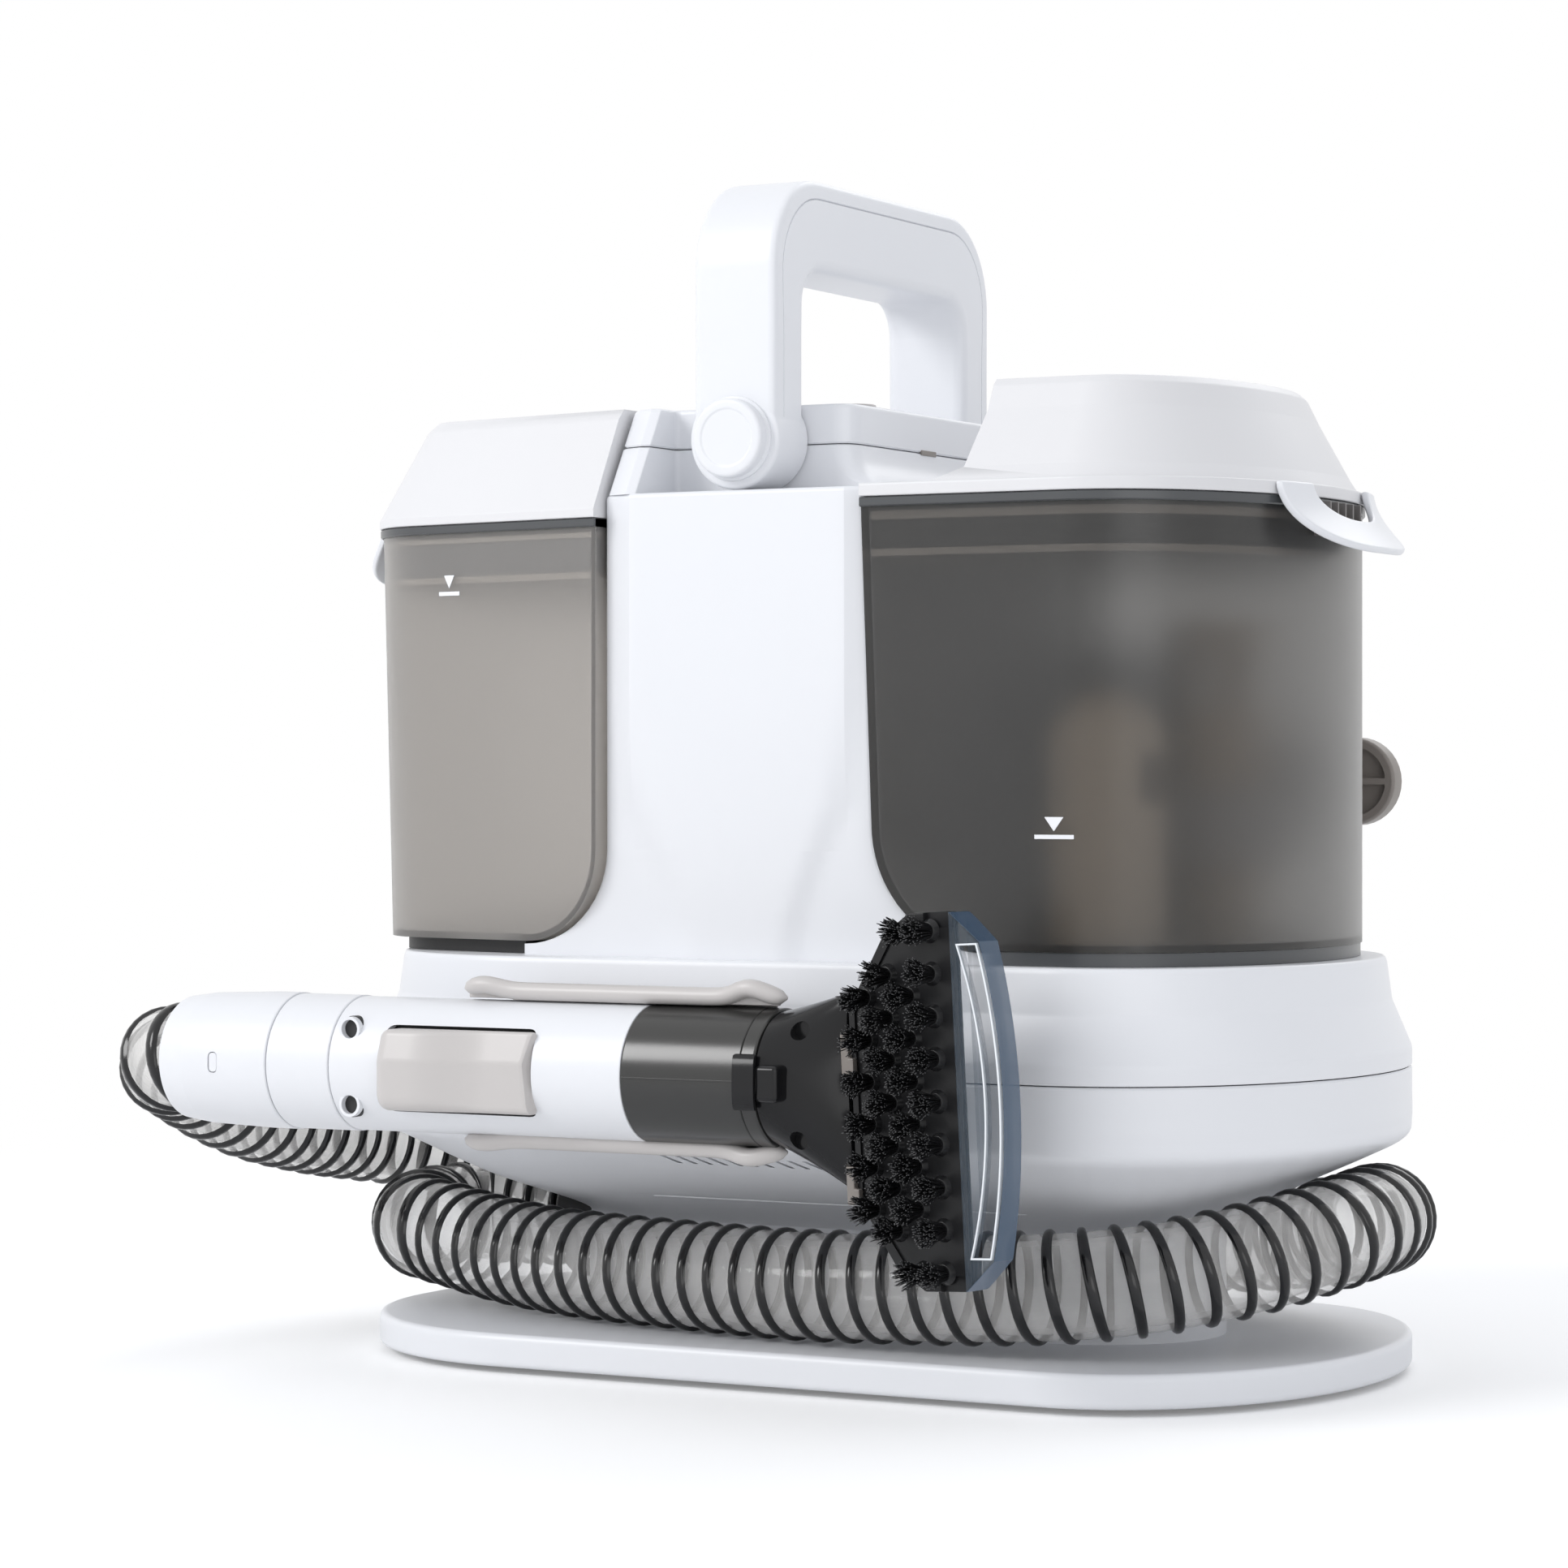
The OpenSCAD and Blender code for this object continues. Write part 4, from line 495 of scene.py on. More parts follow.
def hose():
    path = spline([Vector(p) / MM for p in HOSE_ROUTE], 24)
    frames = frames_along(path)
    sums = [0.0]
    for a, b in zip(path, path[1:]):
        sums.append(sums[-1] + (b - a).length)
    length = sums[-1]
    turns = round(length / HOSE_PITCH)
    pitch = length / turns

    def station(s):
        """Centre, side and up at a length along the hose."""
        s = min(max(s, 0), length)
        low = min(bisect_right(sums, s), len(sums) - 1) - 1
        t = (s - sums[low]) / (sums[low + 1] - sums[low])
        return [a.lerp(b, t) for a, b in zip(frames[low], frames[low + 1])]

    def skin(rows):
        """Helical rows: each row climbs one pitch for each turn round the hose."""
        points = []
        for turn in range(-1, turns + 1):
            for share, radius in rows:
                for k in range(HOSE_SIDES):
                    s = (turn + share + k / HOSE_SIDES) * pitch
                    centre, side, up = station(s)
                    a = 360 * k / HOSE_SIDES
                    reach = radius if 0 <= s <= length else min(radius, WALL_RADIUS)
                    points.append(centre + reach * (cos(a) * side + sin(a) * up))
        count = len(rows)
        faces, kinds = [], []
        for row in range((turns + 1) * count):
            for k in range(HOSE_SIDES):
                a = row * HOSE_SIDES + k
                b = a + 1 if k < HOSE_SIDES - 1 else (row + count) * HOSE_SIDES
                c = b + HOSE_SIDES
                if c < len(points):
                    faces.append((a, b, c, a + HOSE_SIDES))
                    kinds.append(0 if row % count < len(RIB_ROWS) - 1 and count > 2 else 1)
        return points, faces, kinds

    points, faces, kinds = skin(RIB_ROWS + WALL_ROWS)
    inner_points, inner_faces, inner_kinds = skin(((0, HOSE_BORE / 2), (0.5, HOSE_BORE / 2)))
    shift = len(points)
    faces += [tuple(reversed([i + shift for i in face])) for face in inner_faces]
    mesh = bpy.data.meshes.new("hose")
    mesh.from_pydata([p * MM for p in points + inner_points], [], faces)
    mesh.materials.append(rib_black)
    mesh.materials.append(clear_wall)
    for polygon, kind in zip(mesh.polygons, kinds + inner_kinds):
        polygon.material_index = kind
    made = linked("suction_hose", mesh)
    clean(mesh, outwards=False)
    mesh.shade_smooth()
    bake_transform(made)
    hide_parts("hose")


hose()

# ---- base and housings


def base():
    side = fillet([(9, FOOT_Z), (0, FOOT_Z), (0, BASE_TOP), (9, BASE_TOP)], [0, 2, 2.4, 0])
    made = loft("base_cover", stack(pebble, side), white)
    screws = [drill(WAIST_X + x, y, 4.15, FOOT_Z - 1, FOOT_Z + 3) for x in (-74, 74) for y in (-24, 24)]
    combine(made, together("cut", screws))
    place(made, "machine", ["base_plate"])


SKIRT_UNDER = 36
VENT_COUNT = 12
VENT_X = -33
VENT_PITCH = 5.1
VENT_Z = SKIRT_Z - 0.4


def lower_housing():
    keys = stack(waist, [(0, BASE_TOP), (0, BASE_TOP + 14), (0, BASE_TOP + 27), (-2, BASE_TOP + 32)])
    keys += stack(pebble, [(SKIRT_UNDER, SKIRT_Z - 13), (12, SKIRT_Z - 2), (1.6, SKIRT_Z + 3.5),
        (0, SKIRT_Z + 9), (0, SKIRT_Z + 16)])
    tracks = [spline([Vector(ring[i]) for ring in keys], 5) for i in range(len(keys[0]))]
    rings = [[track[k] for track in tracks] for k in range(len(tracks[0]))]
    rings += stack(pebble, [(0, SEAM_Z - 0.9), (0.6, SEAM_Z - SEAM_GAP)])
    made = thicken(loft("housing_skin", rings, white, caps=(True, False)), 2.6)
    cuts = []
    for i in range(VENT_COUNT):
        x = VENT_X + i * VENT_PITCH + (1.6 if i > 6 else 0)
        outline = [(x, VENT_Z), (x + 1.7, VENT_Z), (x + 5.2, VENT_Z - 2.7), (x + 3.5, VENT_Z - 2.7)]
        cuts.append(cutter(outline, -HALF_WIDTH - 1, -HALF_WIDTH + 22, "y"))
    for left, right, high in ((-55, 71, 51.2), (99, 128, 50.5)):
        outline = pad(left, BASE_TOP + 12, right, high, 2)
        cuts.append(cutter(outline, -HALF_WIDTH, -52.4, "y"))
    combine(made, together("cut", cuts))
    place(made, "machine", ["lower_housing"])
    # A black plate behind the vent slots: painted shade for the dark inside of the slots.
    outline = [(24 - HALF_WIDTH, SKIRT_Z - 4), (13 - HALF_WIDTH, SKIRT_Z + 5),
        (12 - HALF_WIDTH, SKIRT_Z + 5), (23 - HALF_WIDTH, SKIRT_Z - 4)]
    vent_shade_plate = prism("painted_vent_shade", outline, VENT_X - 3, VENT_X + VENT_COUNT * VENT_PITCH + 3, "x",
        black_matte)
    place(vent_shade_plate, "machine")


SEATS = ((-105, 0), (87, -33), (98, 26))
SEAT_DIAMETER = 26


def deck():
    side = fillet([(2.6, SEAM_Z + SEAM_GAP), (0, SEAM_Z + SEAM_GAP), (0, SEAM_Z + 5.5), (6, DECK_Z - 13),
        (7.5, DECK_Z - 2), (8.1, DECK_Z), (14, DECK_Z)], [0, 0.5, 5, 5, 0, 1.8, 0])
    made = thicken(loft("deck_skin", stack(pebble, side[1:]), white, caps=(False, True)), 2.6)
    holes = [drill(x, y, SEAT_DIAMETER / 2, DECK_Z - 9, DECK_Z + 3, sides=36) for x, y in SEATS]
    combine(made, together("cut", holes))
    place(made, "machine", ["deck_housing"])


# ---- column

COLUMN_LEFT = -57.5
COLUMN_RIGHT = 29.5
COLUMN_HALF = box_mm("column_rear")[1][1]
COLUMN_LEAN = 3.5
TANK_CLEARANCE = 0.8
LEFT_ARC = (-86.3, TANK_Z + 28, 28.8)
RIGHT_ARC = (69.8, TANK_Z + 36, 36.8)
CHAMFER = 10.5
CHAMFER_DEPTH = 3.5
ARC_STEPS = 14


def column_left(z):
    x, height, radius = LEFT_ARC
    if z >= height:
        return COLUMN_LEFT
    return x + math.sqrt(max(0, radius ** 2 - (height - z) ** 2))


def column_right(z):
    x, height, radius = RIGHT_ARC
    if z >= height:
        return COLUMN_RIGHT + COLUMN_LEAN * (LEDGE_Z - z) / (LEDGE_Z - height)
    return x - math.sqrt(max(0, radius ** 2 - (height - z) ** 2))


def smooth_step(t):
    t = min(max(t, 0), 1)
    return t * t * (3 - 2 * t)


def crease(t):
    """0 on the panel and 1 beyond its chamfer, with a fairly sharp start."""
    t = min(max(t, 0), 1)
    return 1 - (1 - t) ** 1.6


PANEL_TAPER_Z = 195


def column_face(x, z):
    """Depth of the front face: a flat middle, narrower near the deck, drawn back at both edges."""
    low = smooth_step((PANEL_TAPER_Z - z) / (PANEL_TAPER_Z - DECK_Z))
    left_edge = COLUMN_LEFT + CHAMFER + 20 * low
    right_edge = COLUMN_RIGHT - CHAMFER * 0.5 - 20 * low
    left = crease((left_edge - x) / CHAMFER)
    right = crease((x - right_edge) / (CHAMFER * 0.6))
    return -COLUMN_HALF + CHAMFER_DEPTH * max(left, right * 0.6)


def column(name, side):
    low = DECK_Z - 0.2
    heights = {low, DECK_Z + 1.6, LEDGE_Z - 1.4, LEDGE_Z - 0.9, LEDGE_Z - 0.4, LEDGE_Z - 0.1, LEDGE_Z}
    for _, height, radius in (LEFT_ARC, RIGHT_ARC):
        heights |= {height - radius * sin(90 * k / ARC_STEPS) for k in range(ARC_STEPS + 1)}
    heights |= {170 + 15 * k for k in range(6)}
    edge = 1.4
    rings = []
    for z in sorted(h for h in heights if h >= low):
        inset = edge - math.sqrt(max(0, edge ** 2 - max(0, z - LEDGE_Z + edge) ** 2))
        left, right = column_left(z) + inset, column_right(z) - inset
        stops = [left + edge, COLUMN_LEFT + 1, COLUMN_LEFT + CHAMFER, COLUMN_RIGHT - CHAMFER * 0.5,
            COLUMN_RIGHT - 0.4, right - edge]
        stops = [min(max(stop, left + edge), right - edge) for stop in stops]
        xs = []
        for a, b, steps in zip(stops, stops[1:], (10, 12, 24, 12, 8)):
            xs += [a + (b - a) * k / steps for k in range(steps)]
        xs.append(stops[-1])
        face = [(x, (column_face(x, z) if side < 0 else -COLUMN_HALF) + inset) for x in xs]
        first, last = face[0], face[-1]
        turn_in = [(first[0] - edge * sin(a), first[1] + edge * (1 - cos(a))) for a in (90, 60, 30)]
        turn_out = [(last[0] + edge * sin(a), last[1] + edge * (1 - cos(a))) for a in (30, 60, 90)]
        plan = [(left, -SEAM_GAP)] + turn_in + face + turn_out + [(right, -SEAM_GAP)]
        rings.append([(x, -y * side, z) for x, y in plan])
    made = loft(name, rings, white, wrap=False, caps=(False, True))
    return place(thicken(made, 2.2), "machine",
        ["column_front" if side < 0 else "column_rear"])


def rear_panel():
    low, high = box_mm("rear_panel")
    outline = pad(low[0], low[2], high[0], high[2], [1, 1, 12, 12])
    made = bevel(prism("panel_plate", outline, high[1] - 4, high[1], "y", white), 0.9)
    combine(made, cutter(pad(-44, 142, 44, 208, 6), high[1] - 0.9, high[1] + 1, "y"))
    slots = [cutter(pad(-32, z, 32, z + 2.4, 1.1), high[1] - 3, high[1] + 1, "y")
        for z in range(150, 174, 6)]
    combine(made, together("cut", slots))
    spacer = block("spacer", (-51.5, low[1], low[2]), (23.5, high[1] - 3.9, high[2]), white, 0)
    place(combine(made, spacer, "UNION"), "machine", ["rear_panel"])


def cord_hook():
    """One hook: a stem and a D-shaped flange with two pockets on each face."""
    low, high = box_mm("cord_hooks")
    root, tip = box_mm("rear_panel")[1][1], high[1]
    flange, stem = 8, 62
    middle = (low[2] + high[2]) / 2
    half = (high[2] - low[2]) / 2
    outline = [(stem - 8, middle - half), (stem - 8, middle + half)]
    outline += arc(high[0] - half, middle, half, 90, -90, 18)
    made = bevel(prism("hook", outline, tip - flange, tip, "y", taupe), 1.2)
    for side in (-1, 1):
        pocket = [(stem + 10, middle + side * 1), (stem + 10, middle + side * (half - 3))]
        pocket += [(high[0] - half + (half - 3) * cos(a), middle + side * (half - 3) * sin(a))
            for a in range(80, 9, -10)]
        pocket.append((high[0] - 3.2, middle + side * 1))
        for depth in ((tip - flange - 1, tip - flange + 3), (tip - 3, tip + 1)):
            combine(made, cutter(pocket, *depth, "y"))
    shaft = pad(stem - 5, middle - 10, stem + 5, middle + 10, 2.5)
    combine(made, prism("shaft", shaft, root, tip - 2, "y", taupe), "UNION")
    return made


def cord_hooks():
    right = cord_hook()
    pair = together("hook_pair", [right, mirrored(right, (1, 0, 0))])
    place(pair, "machine", ["cord_hooks"])


# ---- control housing

CONTROL_LEFT = COLUMN_LEFT + 1
CONTROL_RIGHT = COLUMN_RIGHT - 16
CONTROL_HALF = 53
CONTROL_FLARE = 12
COVER_Z = COVER_TOP - 12
BUTTON = (CONTROL_RIGHT - 11, -CONTROL_HALF + 25)


def cheek_front(z):
    """Front edge of the cheeks, which slope back with the lids."""
    return COLUMN_HALF - 0.5 - (z - LEDGE_Z) * 0.6


def control_plan(right, inset, z):
    left, half, cheek = CONTROL_LEFT + inset, CONTROL_HALF - inset, cheek_front(z) - inset
    inner = CONTROL_LEFT + 10.6 - inset
    front = [(left, 3.3 - cheek), (CONTROL_LEFT + 7.5 - inset / 2, -cheek), (inner, 0.9 - cheek),
        (inner, -half), (right - inset, -half)]
    radii = [1, 1, 0.6, 2, 7]
    back = [(x, -y) for x, y in reversed(front)]
    return fillet(front + back, radii + radii[::-1], True, 5)


def control_housing():
    low = LEDGE_Z - 0.2
    flare = [(CONTROL_RIGHT + CONTROL_FLARE * (1 - cos(a)), COVER_Z - SEAM_GAP - CONTROL_FLARE * sin(a))
        for a in range(0, 91, 10)]
    spans = [(CONTROL_RIGHT, 0.5, COVER_Z - SEAM_GAP), (CONTROL_RIGHT, 0, COVER_Z - 0.6)]
    spans += [(x, 0, z) for x, z in flare if COVER_Z - 0.7 > z > low]
    spans.append((COLUMN_RIGHT - 2, 0, low))
    rings = [at(control_plan(right, inset, z), z) for right, inset, z in spans]
    place(loft("control_skin", rings, white), "machine", ["control_housing"])


def control_cover():
    side = fillet([(0.5, COVER_Z + SEAM_GAP), (0, COVER_Z + 0.6), (0, COVER_TOP), (3.4, COVER_TOP)],
        [0, 0, 3, 0])
    rings = [at(control_plan(CONTROL_RIGHT, inset, z), z) for inset, z in side]
    cover = loft("control_top", rings, white)
    combine(cover, drill(*BUTTON, 6.05, COVER_TOP - 5, COVER_TOP + 1, sides=36))
    lamp_slot = pad(BUTTON[0] - 1.2, 4, BUTTON[0] + 1.2, 14, 1.1)
    combine(cover, cutter(lamp_slot, COVER_TOP - 0.8, COVER_TOP + 1))
    place(cover, "machine", ["control_cover"])
    lamp = bevel(prism("lamp_bar", lamp_slot, COVER_TOP - 1, COVER_TOP - 0.3, "z", warm_grey), 0.15)
    place(lamp, "machine")
    notch = block("cover_notch", (CONTROL_RIGHT - 0.4, -7, COVER_Z - 0.7),
        (CONTROL_RIGHT + 0.35, 3, COVER_Z + 0.9), taupe, 0.2)
    place(notch, "machine")


def power_button():
    top = box_mm("power_button")[1][2]
    profile = [(top - 4.4, 5.75), (top, 5.75), (top - 0.1, 4.6), (top - 0.7, 0.4)]
    profile = fillet(profile, [0, 0.7, 0.6, 0])
    cap = revolve("button_cap", profile, (*BUTTON, 0), "z", warm_grey)
    place(cap, "button", ["power_button"])


# ---- carry handle

PIVOT = (-15.3, 277)
HANDLE_CROWN = 2.2
HANDLE_TOP = box_mm("handle_frame")[1][2] + HANDLE_CROWN
HANDLE_SPAN = box_mm("handle_frame")[1][1]
HANDLE_WIDTH = 27.5
LEG = 19
GRIP = 27
HANDLE_CORNERS = (28, 11)
HUB_RADIUS = 15


def handle_section(outer, inner):
    """Rounded section from the outer to the inner outline, with a parting groove on each side."""
    across = Vector((0, *outer)) - Vector((0, *inner))
    depth = across.length
    inward = -across.normalized()
    half = HANDLE_WIDTH / 2
    groove = 5.5
    corners = [(0, -half), (groove - 0.3, -half), (groove, -half + 0.7), (groove + 0.3, -half),
        (depth, -half), (depth, half), (groove + 0.3, half), (groove, half - 0.7), (groove - 0.3, half),
        (0, half)]
    radii = [4.5, 0, 0, 0, 4, 4, 0, 0, 0, 4.5]
    start = Vector((PIVOT[0], *outer))
    return [tuple(start + inward * a + Vector((b, 0, 0))) for a, b in fillet(corners, radii, True)]


def handle():
    outer_r, inner_r = HANDLE_CORNERS
    outer_c = (HANDLE_SPAN - outer_r, HANDLE_TOP - outer_r)
    inner_c = (HANDLE_SPAN - LEG - inner_r, HANDLE_TOP - GRIP - inner_r)
    half = [((HANDLE_SPAN, z), (HANDLE_SPAN - LEG, z)) for z in (PIVOT[1], 290, 300, 308)]
    for k in range(13):
        a = 90 * k / 12
        half.append(((outer_c[0] + outer_r * cos(a), outer_c[1] + outer_r * sin(a)),
            (inner_c[0] + inner_r * cos(a), inner_c[1] + inner_r * sin(a))))
    half += [((y, HANDLE_TOP), (y, HANDLE_TOP - GRIP)) for y in (33, 20, 7)]
    other = [((-o[0], o[1]), (-i[0], i[1])) for o, i in reversed(half)]
    made = loft("handle_arch", [handle_section(o, i) for o, i in half + other], white)
    for side in (-1, 1):
        ends = sorted((side * HANDLE_SPAN, side * (HANDLE_SPAN - LEG)))
        profile = fillet([(ends[0], 3), (ends[0], HUB_RADIUS), (ends[1], HUB_RADIUS), (ends[1], 3)], 1.6)
        hub = revolve("hub", profile, (PIVOT[0], 0, PIVOT[1]), "y", white)
        combine(made, hub, "UNION")
    place(made, "handle", ["handle_frame"])
    cap = HUB_RADIUS - 3.35
    profile = fillet([(0, cap + 0.9), (-0.9, cap + 0.9), (-1.2, cap), (-4.9, cap), (-4.95, cap - 2.9),
        (-4.65, cap - 3.4), (-4.65, 0.5)], [0, 0.4, 0.3, 2.2, 0.8, 0.8, 0])
    front = revolve("cap", profile, (PIVOT[0], -HANDLE_SPAN, PIVOT[1]), "y", white)
    place(together("pivot_covers", [front, mirrored(front, (0, 1, 0))]), "handle",
        ["handle_caps"])


# ---- clean tank

TANK_WALL = 2
CLEAN_RIGHT = COLUMN_LEFT - TANK_CLEARANCE
CLEAN_LENGTH = 96.5
CLEAN_LEFT = CLEAN_RIGHT - CLEAN_LENGTH
CLEAN_CORNER = 34
CLEAN_DRAFT = 3.5
CLEAN_SLOPE = 12
CLEAN_FRONT = COLUMN_HALF + 1
CORNER_Y = (CLEAN_FRONT - CLEAN_LENGTH * 0.3 * sin(CLEAN_SLOPE) - (CLEAN_LENGTH - CLEAN_CORNER)
    * math.tan(math.radians(CLEAN_SLOPE)) * 0.75 - CLEAN_CORNER + 2)


def clean_plan(inset, out=0, right=CLEAN_RIGHT):
    """Plan of the clean tank; right is where its column side stands."""
    x, radius = CLEAN_LEFT + CLEAN_CORNER, CLEAN_CORNER - inset
    left = [(px - out, py) for px, py in arc(x, CORNER_Y, radius, 90 + CLEAN_SLOPE, 180, 16)]
    full = CLEAN_RIGHT - max(inset, 0)
    share = (right - max(inset, 0) - left[0][0]) / (full - left[0][0])
    edge = left[0][1] + (CLEAN_FRONT - inset - left[0][1]) * share
    stop = right - max(inset, 0)
    return ([(stop, -edge), (stop, edge)] + left + [(px, -py) for px, py in reversed(left)])


def clean_rings(inset, low, high, steps=16):
    """Rings of the tank from floor to rim, its lower right corner rounded."""
    centre_x, centre_z, radius = CLEAN_RIGHT - 28, TANK_Z + 28, 28
    rings = []
    for k in range(steps + 1):
        a = 90 - 90 * k / steps
        x = centre_x + (radius - inset) * cos(a)
        z = centre_z - (radius - inset) * sin(a)
        rings.append((x + max(inset, 0), z))
    rings += [(CLEAN_RIGHT, z) for z in (170, 190, 210, 230, high - 6, high)]
    return [at(clean_plan(inset, CLEAN_DRAFT * (z - low) / (high - low), x), z) for x, z in rings]


def clean_tank():
    outer = clean_rings(0, TANK_Z, CLEAN_TOP)
    inner = clean_rings(TANK_WALL, TANK_Z + TANK_WALL, CLEAN_TOP)
    made = loft("clean_shell", outer + inner[::-1], mist)
    bevel(made, 1.1, 3, 50)
    combine(made, drill(*SEATS[0], 8, TANK_Z - 1, TANK_Z + 4))
    place(made, "clean_tank", ["clean_tank"])
    low, high, right = DECK_Z + 0.1, TANK_Z - 0.05, CLEAN_RIGHT - 26
    spans = [(5, low), (5, high), (7, high), (7, low)]
    rings = stack(lambda inset: clean_plan(inset, 0, right), spans)
    place(loft("clean_foot", rings, black_matte, cyclic=True), "clean_tank")
    rim = tank_rim("clean_rim", lambda inset: clean_plan(inset, CLEAN_DRAFT), CLEAN_TOP, 2.6)
    place(rim, "clean_tank")
    place(level_mark("clean_level", made, -121.5, 8.4, CLEAN_TOP - 21.6), "clean_tank")


def tank_rim(name, plan, top, drop):
    """A dark bead round the outside of a tank's mouth."""
    spans = [(-0.5, top - drop), (-0.9, top - drop + 0.4), (-0.9, top - 0.3), (-0.5, top), (0.1, top),
        (0.1, top - drop)]
    return loft(name, stack(plan, spans), dark_trim, cyclic=True)


def level_mark(name, tank, left, width, z):
    """Filling mark on the front wall: an arrowhead that points at a bar."""
    tree = BVHTree.FromPolygons([v.co for v in tank.data.vertices],
        [p.vertices for p in tank.data.polygons])
    middle, half = left + width / 2, width * 0.24

    def wall(x, height):
        hit = tree.ray_cast(Vector((x, -200, height)) * MM, Vector((0, 1, 0)))[0]
        return hit.y / MM

    def plate(x0, x1, low_of, high):
        steps = 8
        rings = []
        for k in range(steps + 1):
            x = x0 + (x1 - x0) * k / steps
            low = low_of(x)
            rings.append([(x, wall(x, low) - 0.15, low), (x, wall(x, high) - 0.15, high),
                (x, wall(x, high) + 0.1, high), (x, wall(x, low) + 0.1, low)])
        return loft("mark", rings, pale_print)

    def slant(x):
        return z + 2.2 + abs(x - middle) / half * 3.9

    bar = plate(left, left + width, lambda x: z, z + 1.2)
    arrow = plate(middle - half, middle + half, slant, z + 6.2)
    return together(name, [bar, arrow])


def lid_plan(inset, right=CLEAN_RIGHT):
    """Plan of the clean lid: like the tank's, with its column side left in place."""
    side = clean_plan(inset, CLEAN_DRAFT)
    return [(right if i < 2 else x, y) for i, (x, y) in enumerate(side)]


def clean_lid():
    low = CLEAN_TOP + 0.2
    top = box_mm("clean_lid")[1][2]
    inner = fillet([(24, top - 5), (20, top - 5), (4.6, low + 5), (4.6, low)], [0, 3, 1.5, 0], steps=3)
    outer = fillet([(1, low), (-1.2, low), (-1.2, low + 2.6), (13.9, top - 3), (17.2, top), (30, top)],
        [0, 0.5, 0.8, 4.5, 0, 0])
    rings = [at(lid_plan(inset, CLEAN_RIGHT - 2.4), z) for inset, z in inner]
    rings += stack(lid_plan, outer)
    made = bevel(loft("clean_cover", rings, white_lid), 1.2, 3, 60)
    place(made, "clean_lid", ["clean_lid"])
    # The grey band between the clean lid's lips is painted shade, the shadow under the lid.
    lid_trim("clean", lid_lip, CLEAN_TOP, ((5.6, 1.2), (17.8, 15.9)), (15.8, 5.7), lip_white, lid_shade_grey)
    place(latch("clean_catch", -1, clean_flange, box_mm("clean_latch")), "clean_latch",
        ["clean_latch"])


def lid_lip(inset):
    return clean_plan(TANK_WALL + 0.5 + inset, CLEAN_DRAFT * 0.9)


def band(name, plan, low, high, material, wall=0.9):
    """A thin ring that follows a plan."""
    rings = stack(plan, [(0, low), (0, high), (wall, high), (wall, low)])
    return loft(name, rings, material, cyclic=True)


def lid_trim(tank, plan, top, lips, hoop, lip_material, shade_material):
    """Two lips under a lid that reach into its tank, and between them a dark band of painted shade, the
    shadow under the lid.
    """
    bands = [band("lip", plan, top - low, top - high, lip_material) for low, high in lips]
    place(together(tank + "_inner_lips", bands), tank + "_lid", smooth=50)
    between = band(tank + "_lid_shade_band", lambda inset: plan(inset + 0.8), top - hoop[0],
        top - hoop[1], shade_material)
    place(between, tank + "_lid", smooth=50)


# ---- recovery tank

RECOVERY_INSET = HALF_WIDTH - COLUMN_HALF - 1
RECOVERY_LEFT = COLUMN_RIGHT + TANK_CLEARANCE
RECOVERY_A = NOSE_LENGTH - RECOVERY_INSET
RECOVERY_B = HALF_WIDTH - RECOVERY_INSET
RECOVERY_FLARE = 36
DOME_LEFT = 64.8
DOME_FILLET = 12.8


def recovery_plan(inset, left=RECOVERY_LEFT, left_inset=None):
    b = RECOVERY_B - inset
    x = left + (max(inset, 0) if left_inset is None else left_inset)
    return nose(NOSE_X, RECOVERY_A - inset, b) + [(x, b), (x, -b)]


def recovery_rings(inset, high, steps=18):
    centre_x, centre_z = RECOVERY_LEFT + COLUMN_LEAN + RECOVERY_FLARE, TANK_Z + RECOVERY_FLARE
    radius = RECOVERY_FLARE - inset
    turns = [90 - 90 * k / steps for k in range(steps + 1)]
    lefts = [(centre_x - radius * cos(a), centre_z - radius * sin(a)) for a in turns]
    lefts += [(RECOVERY_LEFT + inset + COLUMN_LEAN * (high - z) / (high - centre_z), z)
        for z in (180, 200, 220, 240, high - 5, high)]
    return [at(recovery_plan(inset, x, 0), z) for x, z in lefts]


def recovery_tank():
    outer = recovery_rings(0, RECOVERY_TOP)
    inner = recovery_rings(TANK_WALL, RECOVERY_TOP)
    made = bevel(loft("recovery_shell", outer + inner[::-1], smoke), 1.1, 3, 60)
    necks = [drill(*seat, 8, TANK_Z - 1, TANK_Z + 4) for seat in SEATS[1:]]
    combine(made, together("cut", necks))
    place(made, "recovery_tank", ["recovery_tank"])
    low, high, left = DECK_Z + 0.1, TANK_Z - 0.05, RECOVERY_LEFT + RECOVERY_FLARE + COLUMN_LEAN + 5
    spans = [(0, low), (0, high), (2, high), (2, low)]
    rings = stack(lambda inset: recovery_plan(0.5 + inset, left, inset), spans)
    place(loft("recovery_foot", rings, dark_trim, cyclic=True), "recovery_tank")
    place(tank_rim("recovery_rim", recovery_plan, RECOVERY_TOP, 2.8), "recovery_tank")
    place(level_mark("recovery_level", made, 85.5, 12, 160), "recovery_tank")
    ribs = [block("rib", (143.6, y - 0.5, 248.5), (148.2, y + 0.5, 257.2), smoky_rib, 0.2, 2)
        for y in range(-12, 13, 6)]
    ribs.append(block("rib", (143.6, -15, 247.2), (148.8, 15, 248.6), smoky_rib, 0.3, 2))
    place(together("catch_ribs", ribs), "recovery_tank")


def dome_left(z):
    """Left side of the lid's dome: it stands nearly upright on a hollow fillet."""
    return DOME_LEFT - DOME_FILLET * math.exp((RECOVERY_TOP + 4 - z) / 2.9)


